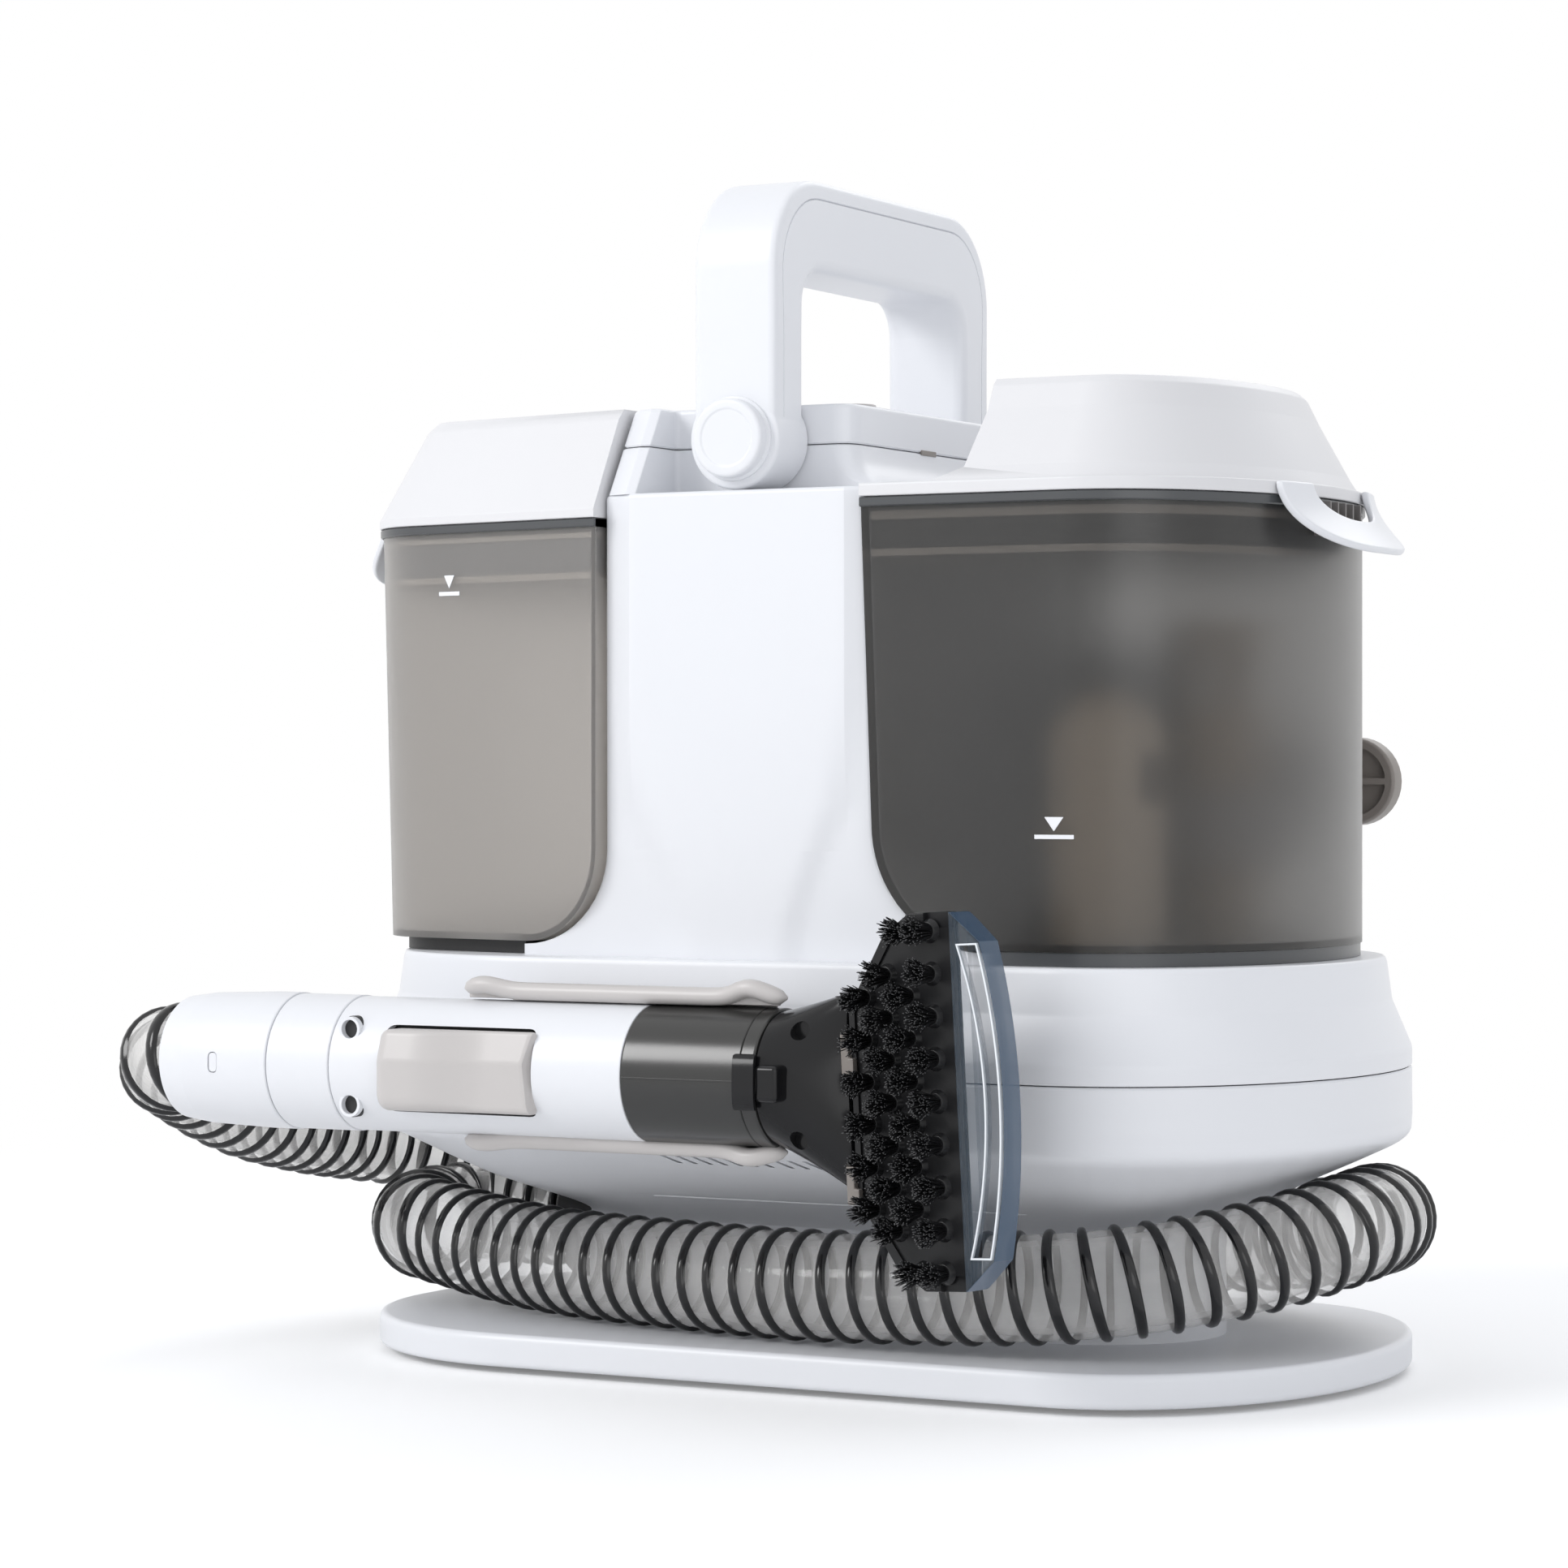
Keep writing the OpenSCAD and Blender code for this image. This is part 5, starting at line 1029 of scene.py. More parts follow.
def recovery_lid():
    low = RECOVERY_TOP + 0.2
    flange = RECOVERY_TOP + 4
    top = box_mm("recovery_lid")[1][2]
    side = fillet([(0.9, flange), (3.5, flange + 4), (13, top - 9), (16.5, top - 2), (18.7, top),
        (34, top)], [0, 6, 12, 2.5, 1, 0], steps=8)
    dome = [at(recovery_plan(inset, dome_left(z), 0 if z < top - 0.01 else (inset - 16.5) * 0.9), z)
        for inset, z in side]
    inner = [at(recovery_plan(26, 72, 0), top - 4), at(recovery_plan(21, 68, 0), top - 4),
        at(recovery_plan(8, 62, 0), flange + 2), at(recovery_plan(8, 62, 0), low)]
    skirt = stack(recovery_plan, fillet([(0.6, low), (-1.2, low), (-1.2, flange), (0.4, flange)],
        [0, 0.5, 0.9, 0]))
    between = [at(recovery_plan(0.85, 46, 0), flange)]
    made = bevel(loft("recovery_cover", inner + skirt + between + dome, white_lid), 0.8, 3, 62)
    place(made, "recovery_lid", ["recovery_lid"])
    # The black band between the recovery lid's lips is painted shade, the shadow under the lid.
    lid_trim("recovery", recovery_lip, RECOVERY_TOP, ((6.5, 1.5), (17, 15)), (14.9, 6.6), lip_smoke,
        black_matte)
    place(latch("recovery_catch", 1, recovery_flange, box_mm("recovery_latch")), "recovery_latch",
        ["recovery_latch"])


def recovery_lip(inset):
    return recovery_plan(TANK_WALL + 0.5 + inset)


# ---- latches


def recovery_flange(y):
    """How far the recovery lid's flange reaches at y."""
    return NOSE_X + (RECOVERY_A + 1.2) * math.sqrt(1 - (y / (RECOVERY_B + 1.2)) ** 2)


def clean_flange(y):
    radius = CLEAN_CORNER + 1.2
    past = max(0, abs(y) - CORNER_Y)
    return CLEAN_DRAFT - CLEAN_LEFT - CLEAN_CORNER + math.sqrt(radius ** 2 - past ** 2)


def bow(angle, half, drop, power):
    """Point of a drooping superellipse: distance along Y and drop below the hinge."""
    reach = ((abs(cos(angle)) / half) ** power + (abs(sin(angle)) / drop) ** power) ** (-1 / power)
    return reach * cos(angle), reach * sin(angle)


LATCH_HALF = 37
LATCH_DROP = 20
LATCH_GAP = (21.5, 11.2)
LATCH_FLARE = 13.8
LATCH_WALL = 2.2


def latch(name, side, flange, bounds):
    """A crescent lip that wraps round the lid's flange, with a finger gap over its middle."""
    top = bounds[1][2] - 1.2
    columns, rows = 56, 9
    rings = []
    for i in range(columns + 1):
        angle = 180 * i / columns
        outer, inner = bow(angle, LATCH_HALF, LATCH_DROP, 3.3), bow(angle, *LATCH_GAP, 2.6)
        front, back = [], []
        for k in range(rows + 1):
            y = outer[0] + (inner[0] - outer[0]) * k / rows
            drop = outer[1] + (inner[1] - outer[1]) * k / rows
            x = flange(y) + 0.35 + LATCH_FLARE * (drop / LATCH_DROP) ** 1.75
            lean = math.atan(LATCH_FLARE * 1.75 / LATCH_DROP * (drop / LATCH_DROP) ** 0.75)
            back.append((side * x, y, top - drop))
            front.append((side * (x + LATCH_WALL * math.cos(lean)), y,
                top - drop + LATCH_WALL * math.sin(lean)))
        rings.append(front + back[::-1])
    return bevel(loft(name, rings, white), 0.7, 3, 50)


# ---- handset

GRIP_Y = -HALF_WIDTH - 24
GRIP_Z = 93
GRIP_RADIUS = 19.75
CUFF_LEFT = box_mm("hose_cuff")[0][0]
RING_LEFT = -136
GRIP_LEFT = -114
COLLAR_LEFT = -15.5
COLLAR_RIGHT = COLLAR_LEFT + 42.5
CUFF_BORE = 17
CUFF_RADIUS = 20.35
RING_RADIUS = 20.05
RING_BORE = 12
SHELL_BORE = 17.25
# Left, low, right and high edge and corner radius of the catch's hole in the cuff, and of its peg
CATCH_HOLE = (-156.8, GRIP_Z - 3.1, -153.4, GRIP_Z + 3.1, 1.65)
CATCH_PEG = (-156.55, GRIP_Z - 2.85, -153.65, GRIP_Z + 2.85, 1.35)
GRIP_FRONT = GRIP_Y - GRIP_RADIUS
GRIP_AXIS = (0, GRIP_Y, GRIP_Z)
SCREW_X = GRIP_LEFT + 6
SCREW_RISE = 11
SCREW_BORE = 2.75
WELL_TOP = GRIP_Y - 15.6
WELL_RADIUS = 3.8
WELL_HALF = 12.6
TRIGGER_WELL = 8.4
TRIGGER_RIGHT = -44
TRIGGER_LEFT = TRIGGER_RIGHT - 51
TRIGGER_HALF = 11.75
TRIGGER_RAISED = 5.4
TRIGGER_STEPS = 64


def turned(name, profile, material, body, nodes, cuts=(), cyclic=True):
    made = revolve(name, profile, GRIP_AXIS, "x", material, 88, cyclic)
    for cut in cuts:
        combine(made, cut)
    return place(made, body, nodes)


def handset():
    cuff = fillet([(RING_LEFT - 0.1, RING_BORE), (RING_LEFT - 6, RING_BORE), (RING_LEFT - 6, CUFF_BORE),
        (CUFF_LEFT, CUFF_BORE), (CUFF_LEFT, 18.4), (CUFF_LEFT + 9, 19.6), (RING_LEFT - 9, CUFF_RADIUS),
        (RING_LEFT - 0.1, CUFF_RADIUS)], [0.2, 0, 0, 0.6, 1.0, 6, 4, 0.5], True)
    turned("cuff_shell", cuff, white, "handset", ["hose_cuff"],
        [cutter(pad(*CATCH_HOLE), GRIP_Y - 24, GRIP_Y - 17.6, "y")])
    peg = prism("cuff_catch", pad(*CATCH_PEG), GRIP_Y - GRIP_RADIUS, GRIP_Y - 17.3, "y", white)
    peg = bevel(peg, 0.3)
    place(peg, "handset")
    ring = fillet([(RING_LEFT + 0.1, RING_BORE), (RING_LEFT + 0.1, RING_RADIUS),
        (GRIP_LEFT - SEAM_GAP, RING_RADIUS), (GRIP_LEFT - SEAM_GAP, RING_BORE)],
        [0.2, 0.5, 0.5, 0.2], True)
    turned("ring_shell", ring, white, "handset", ["swivel_ring"])
    grip_shells()
    screw_wells()
    trigger()
    collar()


def grip_shells():
    right = COLLAR_LEFT - SEAM_GAP
    profile = fillet([(GRIP_LEFT, SHELL_BORE), (GRIP_LEFT, GRIP_RADIUS), (right, GRIP_RADIUS),
        (right, SHELL_BORE)], [0.2, 0.45, 0.45, 0.2], True)
    for name, side, nodes in (("grip_front_shell", -1, ["grip_front"]),
            ("grip_back_shell", 1, ["grip_back"])):
        made = revolve(name, profile, GRIP_AXIS, "x", white, 88, True)
        low_y, high_y = (GRIP_Y + 0.06, GRIP_Y + 30) if side < 0 else (GRIP_Y - 30, GRIP_Y - 0.06)
        combine(made, block("cut", (GRIP_LEFT - 5, low_y, GRIP_Z - 30),
            (COLLAR_LEFT + 5, high_y, GRIP_Z + 30), white, 0))
        if side < 0:
            half = TRIGGER_HALF + 0.8
            well = pad(TRIGGER_LEFT - 0.9, GRIP_Z - half, TRIGGER_RIGHT - 0.8, GRIP_Z + half, 3)
            combine(made, cutter(well, GRIP_Y - 25, GRIP_Y - 10, "y"))
            for end in (-1, 1):
                rise = GRIP_Z + end * SCREW_RISE
                combine(made, drill(SCREW_X, rise, SCREW_BORE, GRIP_Y - 25, GRIP_Y - 8, "y"))
        place(bevel(made, 0.35, 2, 50), "handset", nodes)


def screw_wells():
    holes, sleeves = [], []
    for end in (-1, 1):
        centre = (SCREW_X, 0, GRIP_Z + end * SCREW_RISE)
        # The black bore below each white sleeve is painted shade, the dark bottom of the screw hole.
        bore = [(WELL_TOP, WELL_RADIUS), (GRIP_Y - 10, WELL_RADIUS), (GRIP_Y - 10, 2.7),
            (GRIP_Y - 13.4, 2.7), (GRIP_Y - 13.4, 0.3)]
        holes.append(revolve("well", bore, centre, "y", black_matte, 28))
        wall = rectangle(GRIP_Y - 17.6, SCREW_BORE, WELL_TOP, 3.6)
        sleeves.append(revolve("hoop", wall[::-1], centre, "y", white, 28, True))
    place(together("screw_wells", holes), "handset")
    place(together("well_sleeves", sleeves), "handset")


def trigger():
    # A black plate at the floor of the trigger's well: painted shade for the shadowed gap round the
    # trigger.
    back = GRIP_FRONT + TRIGGER_WELL
    well = block("trigger_well_shade", (TRIGGER_LEFT - 2, back, GRIP_Z - WELL_HALF),
        (TRIGGER_RIGHT + 2, back + 0.8, GRIP_Z + WELL_HALF), black_matte, 0.2)
    place(well, "handset")
    place(squeeze_trigger(), "trigger", ["trigger"])


def squeeze_trigger():
    """Soft-edged trigger: a raised thumb end, a shallow dish and a hollow right edge."""
    length = TRIGGER_RIGHT - TRIGGER_LEFT
    rings = []
    for k in range(TRIGGER_STEPS + 1):
        x = TRIGGER_LEFT + length * k / TRIGGER_STEPS
        raised = TRIGGER_RAISED * (1 - smooth_step((x - TRIGGER_LEFT - 12) / 24)) + 1.4
        end = min(x - TRIGGER_LEFT, TRIGGER_RIGHT - x)
        soft = 5 if x < TRIGGER_LEFT + length / 2 else 1.6
        shrink = soft * (1 - math.sqrt(max(0, 1 - max(0, 1 - end / soft) ** 2)))
        half = TRIGGER_HALF - shrink * 0.8
        depth = GRIP_FRONT - raised + shrink * 1.1
        back = GRIP_FRONT + 3.2
        dish = 2.4 * smooth_step((x - TRIGGER_RIGHT + 8) / 8)
        section = fillet([(back, -half), (depth, -half), (depth, 3), (depth + 2.4, half), (back, half)],
            [0.5, 4.4, 7, 2.4, 0.5], True, 6)
        rings.append([(x - dish * (1 - (z / TRIGGER_HALF) ** 2), y, GRIP_Z + z) for y, z in section])
    return loft("squeeze_trigger", rings, warm_grey)


def collar():
    profile = fillet([(COLLAR_LEFT, 10), (COLLAR_LEFT, GRIP_RADIUS), (COLLAR_RIGHT - 5, GRIP_RADIUS),
        (COLLAR_RIGHT - 4.7, GRIP_RADIUS - 0.35), (COLLAR_RIGHT - 4.4, GRIP_RADIUS),
        (COLLAR_RIGHT, GRIP_RADIUS), (COLLAR_RIGHT, 13.5), (COLLAR_LEFT + 5, 13.5),
        (COLLAR_LEFT + 5, 10)], [0.3, 0.5, 0, 0, 0, 0.8, 0.4, 0, 0], True)
    turned("collar_shell", profile, collar_gloss, "handset", ["collar"])
    parting = block("collar_parting", (COLLAR_LEFT + 0.4, GRIP_FRONT - 0.12, GRIP_Z - 0.25),
        (COLLAR_RIGHT - 6, GRIP_FRONT + 0.3, GRIP_Z + 0.25), collar_gloss, 0.08, 2)
    place(parting, "handset")
    loop = []
    for k in range(13):
        a = -90 + 180 * k / 12
        loop.append((COLLAR_RIGHT - 2.2 + 0.6 * cos(a), GRIP_FRONT + 0.6 - 3.2 * cos(a) ** 0.6,
            GRIP_Z + 7.8 * sin(a)))
    strap = [[(x + dx, y + dy, z) for dx, dy in rectangle(-3.4, -0.55, 3.4, 0.75)] for x, y, z in loop]
    made = bevel(loft("catch_strap", strap, black_gloss), 0.45, 2, 50)
    place(made, "handset")


# ---- brush tool

HEAD = (44, GRIP_Y - 7, GRIP_Z - 4)
HEAD_TURN = -12
HEAD_ROLL = -3.5
HEAD_THICK = 13
PLATE_THICK = 2.5
HEAD_HALF = 51.5
PLATE_START = 8.5
PLATE_END = 45.5
ROLL_CENTRE = 34
HEAD_LENGTH = 61.5
NOZZLE_TIP = 7
TUFT_PITCH = 11.6
ROW_START = 6.4
ROW_PITCH = 7.7
BRISTLE_LENGTH = 9.5
FILAMENTS = 120


def head_matrix():
    """Turn of the head towards the side and its slight roll about the middle of the plate."""
    middle = Matrix.Translation((ROLL_CENTRE, 0, 0))
    roll = middle @ Matrix.Rotation(math.radians(HEAD_ROLL), 4, "Y") @ middle.inverted()
    return Matrix.Translation(Vector(HEAD)) @ Matrix.Rotation(math.radians(HEAD_TURN), 4, "Z") @ roll


def on_head(made):
    """Moves a piece from the head's own frame to its place."""
    scale = Matrix.Scale(1 / MM, 4)
    made.data.transform(scale.inverted() @ head_matrix() @ scale)
    return made


def head_point(x, y, z):
    return tuple(head_matrix() @ Vector((x, y, z)))


def plate_outline(g=0.0):
    width = HEAD_HALF - g
    half = [(PLATE_START + g, 26 - g * 0.5), (PLATE_START + 13.5 + g, width - 5.5),
        (PLATE_START + 22.5, width), (PLATE_END, width)]
    return half + [(x, -z) for x, z in reversed(half)]


def tool_neck():
    sides, steps = 64, 12
    rings = []
    for k in range(steps + 1):
        t = smooth_step(k / steps)
        ring = []
        for i in range(sides):
            a = 360 * i / sides
            c, s = cos(a), sin(a)
            start = Vector((COLLAR_RIGHT + 0.3 + 6 * (k / steps), GRIP_Y + 19.1 * c, GRIP_Z + 19.1 * s))
            end = Vector(head_point(PLATE_START - 1.5, 6.5 + 6.1 * math.copysign(abs(c) ** 0.4, c),
                (31 if s > 0 else 26) * math.copysign(abs(s) ** 0.75, s)))
            ring.append(tuple(start.lerp(end, t)))
        rings.append(ring)
    made = loft("neck_shell", rings, black_gloss)
    for side in (-1, 1):
        combine(made, drill(37.5, GRIP_Z - 1 + side * 15.2, 2.6, GRIP_Y - 30, GRIP_Y - 9, "y"))
    spigot = revolve("spigot", fillet([(COLLAR_RIGHT - 16, 10), (COLLAR_RIGHT - 16, 13.4),
        (COLLAR_RIGHT + 2, 13.4), (COLLAR_RIGHT + 2, 10)], [0.3, 0.8, 0, 0], True), GRIP_AXIS, "x",
        black_gloss, 64, True)
    combine(made, spigot, "UNION")
    place(made, "brush_tool", ["tool_neck"])
    knob = block("release_knob", (COLLAR_RIGHT + 1.4, GRIP_FRONT - 2.2, GRIP_Z - 5.3),
        (COLLAR_RIGHT + 8.6, GRIP_FRONT + 6, GRIP_Z + 4.9), black_gloss, 1.5, 4)
    place(knob, "brush_tool")


def head_back():
    back = prism("head_back", fillet(plate_outline(), 1.5, True), PLATE_THICK + 0.1, HEAD_THICK, "y",
        black_gloss)
    slope = [(20, HEAD_THICK + 1), (PLATE_END + 2, PLATE_THICK + 1), (PLATE_END + 2, HEAD_THICK + 1)]
    combine(back, cutter(slope, -HEAD_HALF - 1, HEAD_HALF + 1))
    place(on_head(bevel(back, 1.6, 4, 50)), "brush_tool", ["tool_body"])


def head_plate(spots):
    """The brush plate with a socket for each tuft."""
    plate = prism("head_plate", fillet(plate_outline(), 1.0, True), 0, PLATE_THICK, "y", black_satin)
    bevel(plate, 0.5, 2, 50)
    combine(plate, cutter(fillet(plate_outline(2.2), 1.0, True), -1, 0.7, "y"))
    for side in (-1, 1):
        notch = rectangle(PLATE_END - 9, side * 47.2, PLATE_END + 1, side * 53)[::side]
        combine(plate, cutter(fillet(notch, 0.6, True), -1, 1.6, "y"))
    profile = fillet([(0.75, 3.4), (0.2, 3.1), (-0.9, 2.5), (-0.9, 0.3)], [0, 0.4, 0.4, 0])
    holders = [revolve("holder", profile, (x, 0, z), "y", black_satin, 20) for x, z in spots]
    place(on_head(together("tuft_sockets", holders)), "brush_tool")
    place(on_head(plate), "brush_tool", ["brush_plate"])


def bristle_tufts(spots):
    tufts = build("bristle_tufts", *filaments(spots), bristle)
    tufts.data.materials.append(bristle_tip)
    for index, face in enumerate(tufts.data.polygons):
        face.material_index = 1 if index % 10 > 5 else 0
    place(on_head(tufts), "brush_tool", smooth=80)


def plate_clips():
    clips = []
    for z in (-21, 15):
        outline = [(-2.2, -7), (2.2, -7), (2.2, -2.5), (0.6, -2.5), (0.6, 4.5), (-2.2, 4.5)]
        outline = [(PLATE_START + a, z + b) for a, b in outline]
        clips.append(bevel(prism("clip", outline, -1.6, 1.8, "y", taupe), 0.5, 2, 50))
    place(on_head(together("plate_clips", clips)), "brush_tool")


def tuft_spots():
    """Tuft places, row by row; every second row sits half a pitch lower."""
    spots = []
    for row, reach in enumerate((2.5, 3, 2.5, 4)):
        x = PLATE_START + ROW_START + row * ROW_PITCH
        spots += [(x, (k - reach) * TUFT_PITCH) for k in range(int(2 * reach) + 1)]
    x = PLATE_START + ROW_START + 2 * ROW_PITCH
    return spots + [(x, side * 4 * TUFT_PITCH) for side in (-1, 1)]


def filaments(spots):
    """Splayed nylon filaments, each a bent three-sided spike."""
    points, faces = [], []
    for x, z in spots:
        lean_x, lean_z = chance.uniform(-0.5, 0.5), chance.uniform(-0.5, 0.5)
        for i in range(FILAMENTS):
            a = chance.uniform(0, 360)
            share = math.sqrt((i + 0.5) / FILAMENTS)
            root = 1.9 * share
            splay = (0.4 + 2.0 * share) * chance.uniform(0.75, 1.15)
            tip_y = -BRISTLE_LENGTH * chance.uniform(0.86, 1.0) + 1.0 * share
            thick = chance.uniform(0.16, 0.21)
            start = len(points)
            for k, t in enumerate((0, 0.55, 0.96, 1)):
                bend = t ** 1.5
                cx = x + root * cos(a) + (splay * cos(a) + lean_x) * bend
                cz = z + root * sin(a) + (splay * sin(a) + lean_z) * bend
                wide = thick * (1, 0.95, 0.9, 0.8)[k]
                for corner in range(3):
                    b = a + 120 * corner
                    points.append((cx + wide * cos(b), tip_y * t, cz + wide * sin(b)))
            for k in range(3):
                for corner in range(3):
                    p, q = start + 3 * k + corner, start + 3 * k + (corner + 1) % 3
                    faces.append((p, q, q + 3, p + 3))
            faces.append((start + 9, start + 10, start + 11))
    return points, faces


LIP = 1
WINDOW_ARC = 165
WINDOW_CORNER = HEAD_HALF - 8.5
SLOT_HALF = 42
SLOT_EDGE = 1.3
SLOT_WIDTH = 4.3


def edge_x(z):
    """Outer edge of the nozzle, a shallow arc."""
    return HEAD_LENGTH - WINDOW_ARC + math.sqrt(WINDOW_ARC ** 2 - z * z)


def window_outline(g):
    """The nozzle's plan, drawn in by g: an arc between two cut corners."""
    half = WINDOW_CORNER - g * 0.6
    edge = [(edge_x(z) - g, z) for z in (half * (k / 12 - 1) for k in range(25))]
    return [(PLATE_END + 0.2, g - HEAD_HALF)] + edge + [(PLATE_END + 0.2, HEAD_HALF - g)]


def slot_ring(g):
    """Outline of the nozzle's mouth, grown by g."""
    heights = [(SLOT_HALF + g) * (k / 12 - 1) for k in range(25)]
    outer = [(edge_x(z) - SLOT_EDGE + g, z) for z in heights]
    inner = [(edge_x(z) - SLOT_EDGE - SLOT_WIDTH - g - 1.6 * (z / SLOT_HALF) ** 2, z) for z in heights]
    return outer + inner[::-1]


def nozzle_wedge(g):
    side = [(PLATE_END - 2, g - LIP), (HEAD_LENGTH + 1, g - LIP), (HEAD_LENGTH + 1, NOZZLE_TIP - g),
        (PLATE_END + 3, 9 - g), (PLATE_END - 2, 9 - g)]
    return prism("wedge", side, -HEAD_HALF - 1, HEAD_HALF + 1, "z", window_tint)


def on_border(x, z):
    """True next to the nozzle's arc or its cut corners."""
    if abs(z) < WINDOW_CORNER:
        return edge_x(z) - x < 1
    share = (HEAD_HALF - abs(z)) / (HEAD_HALF - WINDOW_CORNER)
    return PLATE_END + 0.2 + (edge_x(WINDOW_CORNER) - PLATE_END) * share - x < 1.5


def nozzle_window():
    made = prism("clear_nozzle", window_outline(0), -LIP, 9, "y", window_tint)
    combine(made, nozzle_wedge(0), "INTERSECT")
    bevel(made, 0.5, 3, 40)
    inside = cutter(window_outline(1.8), 1.2, 8, "y")
    combine(made, combine(inside, nozzle_wedge(1.8), "INTERSECT"))
    combine(made, cutter(slot_ring(0), -LIP - 1, 3, "y"))
    made.data.materials.append(window_edge_tint)
    for face in made.data.polygons:
        if abs(face.normal.y) < 0.7 and on_border(face.center.x / MM, face.center.z / MM):
            face.material_index = 1
    place(on_head(made), "brush_tool", ["nozzle_window"])
    rim = prism("slot_rim", slot_ring(0.6), -LIP - 0.25, -LIP + 0.6, "y", pale_liner)
    combine(rim, cutter(slot_ring(0.1), -LIP - 1, 2, "y"))
    place(on_head(rim), "brush_tool")


# ---- clip

CLIP_LEFT, CLIP_RIGHT = box_mm("handset_clip")[0][0], box_mm("handset_clip")[1][0]
CLIP_BACK = -HALF_WIDTH - 0.2
CLIP_INNER = GRIP_RADIUS + 0.6
CLIP_LIP = 3.4
EDGE_STEPS = 60


def clip_rise(x):
    """How far the rolled edge swells outwards towards the clip's ends."""
    right = math.exp(-((x - CLIP_RIGHT + 8) / 6) ** 2) * 3.6
    left = math.exp(-((x - CLIP_LEFT - 6) / 6.5) ** 2) * 2.2
    return right + left


def handset_clip():
    front = GRIP_Y - 3
    wall = CLIP_BACK - 2.8
    trough = [(CLIP_BACK, -CLIP_INNER - 1.9), (CLIP_BACK, CLIP_INNER + CLIP_LIP),
        (front, CLIP_INNER + CLIP_LIP), (front, CLIP_INNER), (wall, CLIP_INNER), (wall, -CLIP_INNER),
        (front, -CLIP_INNER), (front, -CLIP_INNER - 1.9)]
    trough = [(y, GRIP_Z + z) for y, z in trough]
    outline = fillet(trough, [3, 3, 0.5, 0.5, 2, 2, 0.5, 0.5], True)
    made = prism("clip_trough", outline, CLIP_LEFT, CLIP_RIGHT, "x", warm_grey)
    slant = [(CLIP_RIGHT - 15, CLIP_BACK + 1), (CLIP_RIGHT + 5, CLIP_BACK + 1),
        (CLIP_RIGHT + 5, front + 2), (CLIP_RIGHT - 1, front + 2)]
    combine(made, cutter(slant, GRIP_Z - 40, GRIP_Z + 40))
    bevel(made, 0.7, 3, 50)
    edges = []
    for side in (-1, 1):
        path, radii = [], []
        for k in range(EDGE_STEPS + 1):
            x = CLIP_LEFT - 1 + (CLIP_RIGHT - CLIP_LEFT + 4) * k / EDGE_STEPS
            out = 2.2 + 0.75 * clip_rise(x) if side > 0 else 0.5 * clip_rise(x)
            path.append((x, front - 0.5 * clip_rise(x), GRIP_Z + side * (CLIP_INNER + out)))
            end = min(k, EDGE_STEPS - k) / 3
            size = math.sqrt(max(0.03, 1 - (1 - min(1, end)) ** 2))
            radii.append((2.9 * size, 2.6 * size))
        edges.append(tube("edge", path, radii, warm_grey))
    whole = together("clip_with_edges", [made] + edges)
    place(whole, "machine", ["handset_clip"], smooth=50)


# ---- carried-over nodes

# The warm colour of the pipes in this table is partly their own tint and partly a painted glow of light
# through the tank.
CARRIED = {"base_feet": rubber, "base_screws": steel, "hose_socket": black_matte, "motor_pad": rubber,
    "motor_can": steel, "fan_housing": black_matte, "fan_rotor": warm_grey, "air_duct": black_matte,
    "pump_body": black_matte, "supply_tube": window_tint, "spray_line": window_tint,
    "recovery_duct": black_matte, "valve_cup": black_matte, "cord_gland": black_matte,
    "clean_seat": rubber, "recovery_seats": rubber, "circuit_board": board, "switch_body": black_matte,
    "pivot_pins": steel, "clip_screws": steel, "clean_valve": black_matte, "valve_plunger": steel,
    "clean_seal": rubber, "standpipe": pipe_tint_and_glow, "air_pipe": pipe_tint_and_glow, "float_sleeve": warm_grey,
    "recovery_seal": rubber, "suction_tube": pipe_tint_and_glow, "spray_valve": black_matte, "trigger_pin": steel}


def dress_cad_nodes():
    for node, material in CARRIED.items():
        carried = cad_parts[node]
        carried.data.materials.clear()
        carried.data.materials.append(material)


base()
lower_housing()
deck()
column("column_front_skin", -1)
column("column_rear_skin", 1)
rear_panel()
cord_hooks()
control_housing()
control_cover()
power_button()
handle()
clean_tank()
clean_lid()
recovery_tank()
recovery_lid()
handset()
tool_neck()
head_back()
head_plate(tuft_spots())
bristle_tufts(tuft_spots())
plate_clips()
nozzle_window()
handset_clip()
dress_cad_nodes()

# ---- stage

FLOOR_HALF = 12
FLOOR_FADE = (0.3, 0.85)
FLOOR_COLOUR = (0.90, 0.90, 0.90)
FLOOR_GAIN = 0.17
SKY = (0.735, 0.75, 0.785, 1)
LAMP_AIM = (0, 0, 0.16)
LAMPS = {"key": dict(place=(-1.5, -1.9, 1.55), size=1.2, power=30.4),
    "fill": dict(place=(2.0, -2.0, 0.4), size=1.8, power=9),
    "back": dict(place=(0.2, 2.2, 2.2), size=2.0, power=18)}


def add_lamp(name, spec):
    lamp = bpy.data.lights.new(name, "AREA")
    lamp.shape = "DISK"
    lamp.size = spec["size"]
    lamp.energy = spec["power"]
    holder = linked(name, lamp)
    holder.location = spec["place"]
    aim = Vector(LAMP_AIM) - Vector(spec["place"])
    holder.rotation_euler = aim.to_track_quat("-Z", "Y").to_euler()


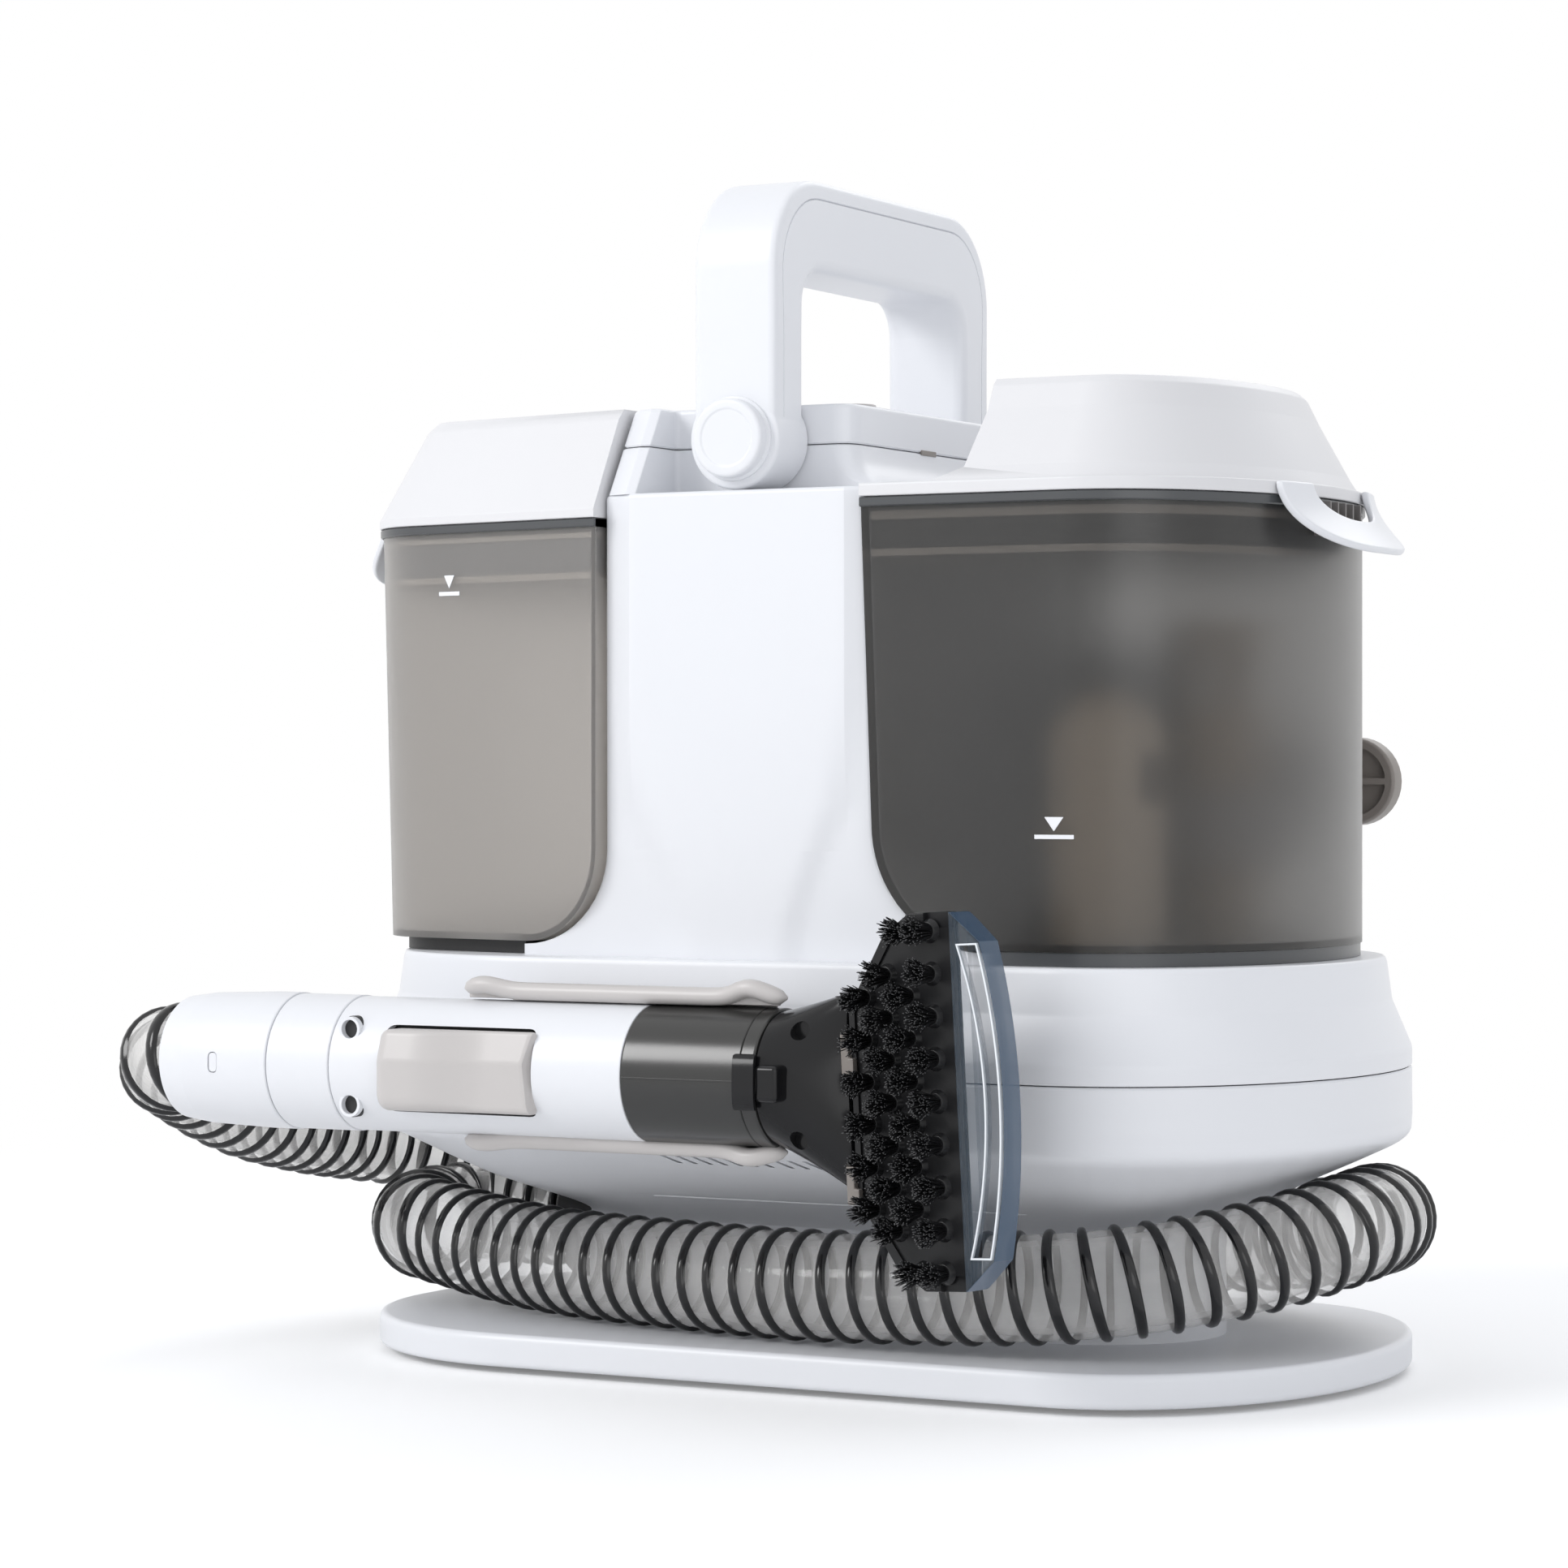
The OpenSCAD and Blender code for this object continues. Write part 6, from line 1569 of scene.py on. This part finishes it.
def seen_rays(tree):
    """1 where a ray shows the background: straight, through glass or in a glossy surface."""
    seen = add_node(tree, "LightPath", {}, "Is Camera Ray")
    path = seen.node
    for kind in ("Is Glossy Ray", "Is Transmission Ray"):
        seen = add_node(tree, "Math", {0: seen, 1: path.outputs[kind]}, operation="MAXIMUM")
    return seen


def add_floor():
    """Pale paper that fades into the white background away from the object."""
    material = surface("floor_paper", FLOOR_COLOUR, 0.9, tone=0.005, grain=300, bump=0.01)
    tree = material.node_tree
    shader = tree.nodes["Principled BSDF"]
    straight = add_node(tree, "LightPath", {}, "Is Camera Ray")
    gain = add_node(tree, "Math", {0: straight, 1: FLOOR_GAIN}, operation="MULTIPLY")
    feed(tree, shader, {"Specular IOR Level": 0.1, "Emission Color": (1, 1, 1, 1),
        "Emission Strength": gain})
    spot = add_node(tree, "NewGeometry", {}, "Position")
    distance = add_node(tree, "VectorMath", {0: spot}, "Value", operation="LENGTH")
    fade = add_node(tree, "MapRange", {"From Min": FLOOR_FADE[0], "From Max": FLOOR_FADE[1],
        "Value": distance}, interpolation_type="SMOOTHSTEP")
    share = add_node(tree, "Math", {0: fade, 1: seen_rays(tree)}, operation="MULTIPLY")
    mixed = add_node(tree, "MixShader", {"Fac": share, 1: shader.outputs["BSDF"],
        2: add_node(tree, "Emission", {})})
    feed(tree, tree.nodes["Material Output"], {"Surface": mixed})
    mesh = bpy.data.meshes.new("floor")
    corners = [(x, y, 0) for x, y in rectangle(-FLOOR_HALF, -FLOOR_HALF, FLOOR_HALF, FLOOR_HALF)]
    mesh.from_pydata(corners, [], [(0, 1, 2, 3)])
    mesh.materials.append(material)
    linked("floor", mesh)


def add_world():
    """White where it is seen, and a soft blue-grey sky where it lights the object."""
    world = bpy.data.worlds.new("studio")
    world.use_nodes = True
    tree = world.node_tree
    sky = add_node(tree, "Mix", {"A": SKY, "B": (1, 1, 1, 1), "Factor": seen_rays(tree)}, "Result",
        data_type="RGBA")
    feed(tree, tree.nodes["Background"], {"Color": sky})
    scene.world = world


add_floor()
add_world()
for lamp_name, lamp_spec in LAMPS.items():
    add_lamp(lamp_name, lamp_spec)
scene.view_settings.view_transform = "Standard"
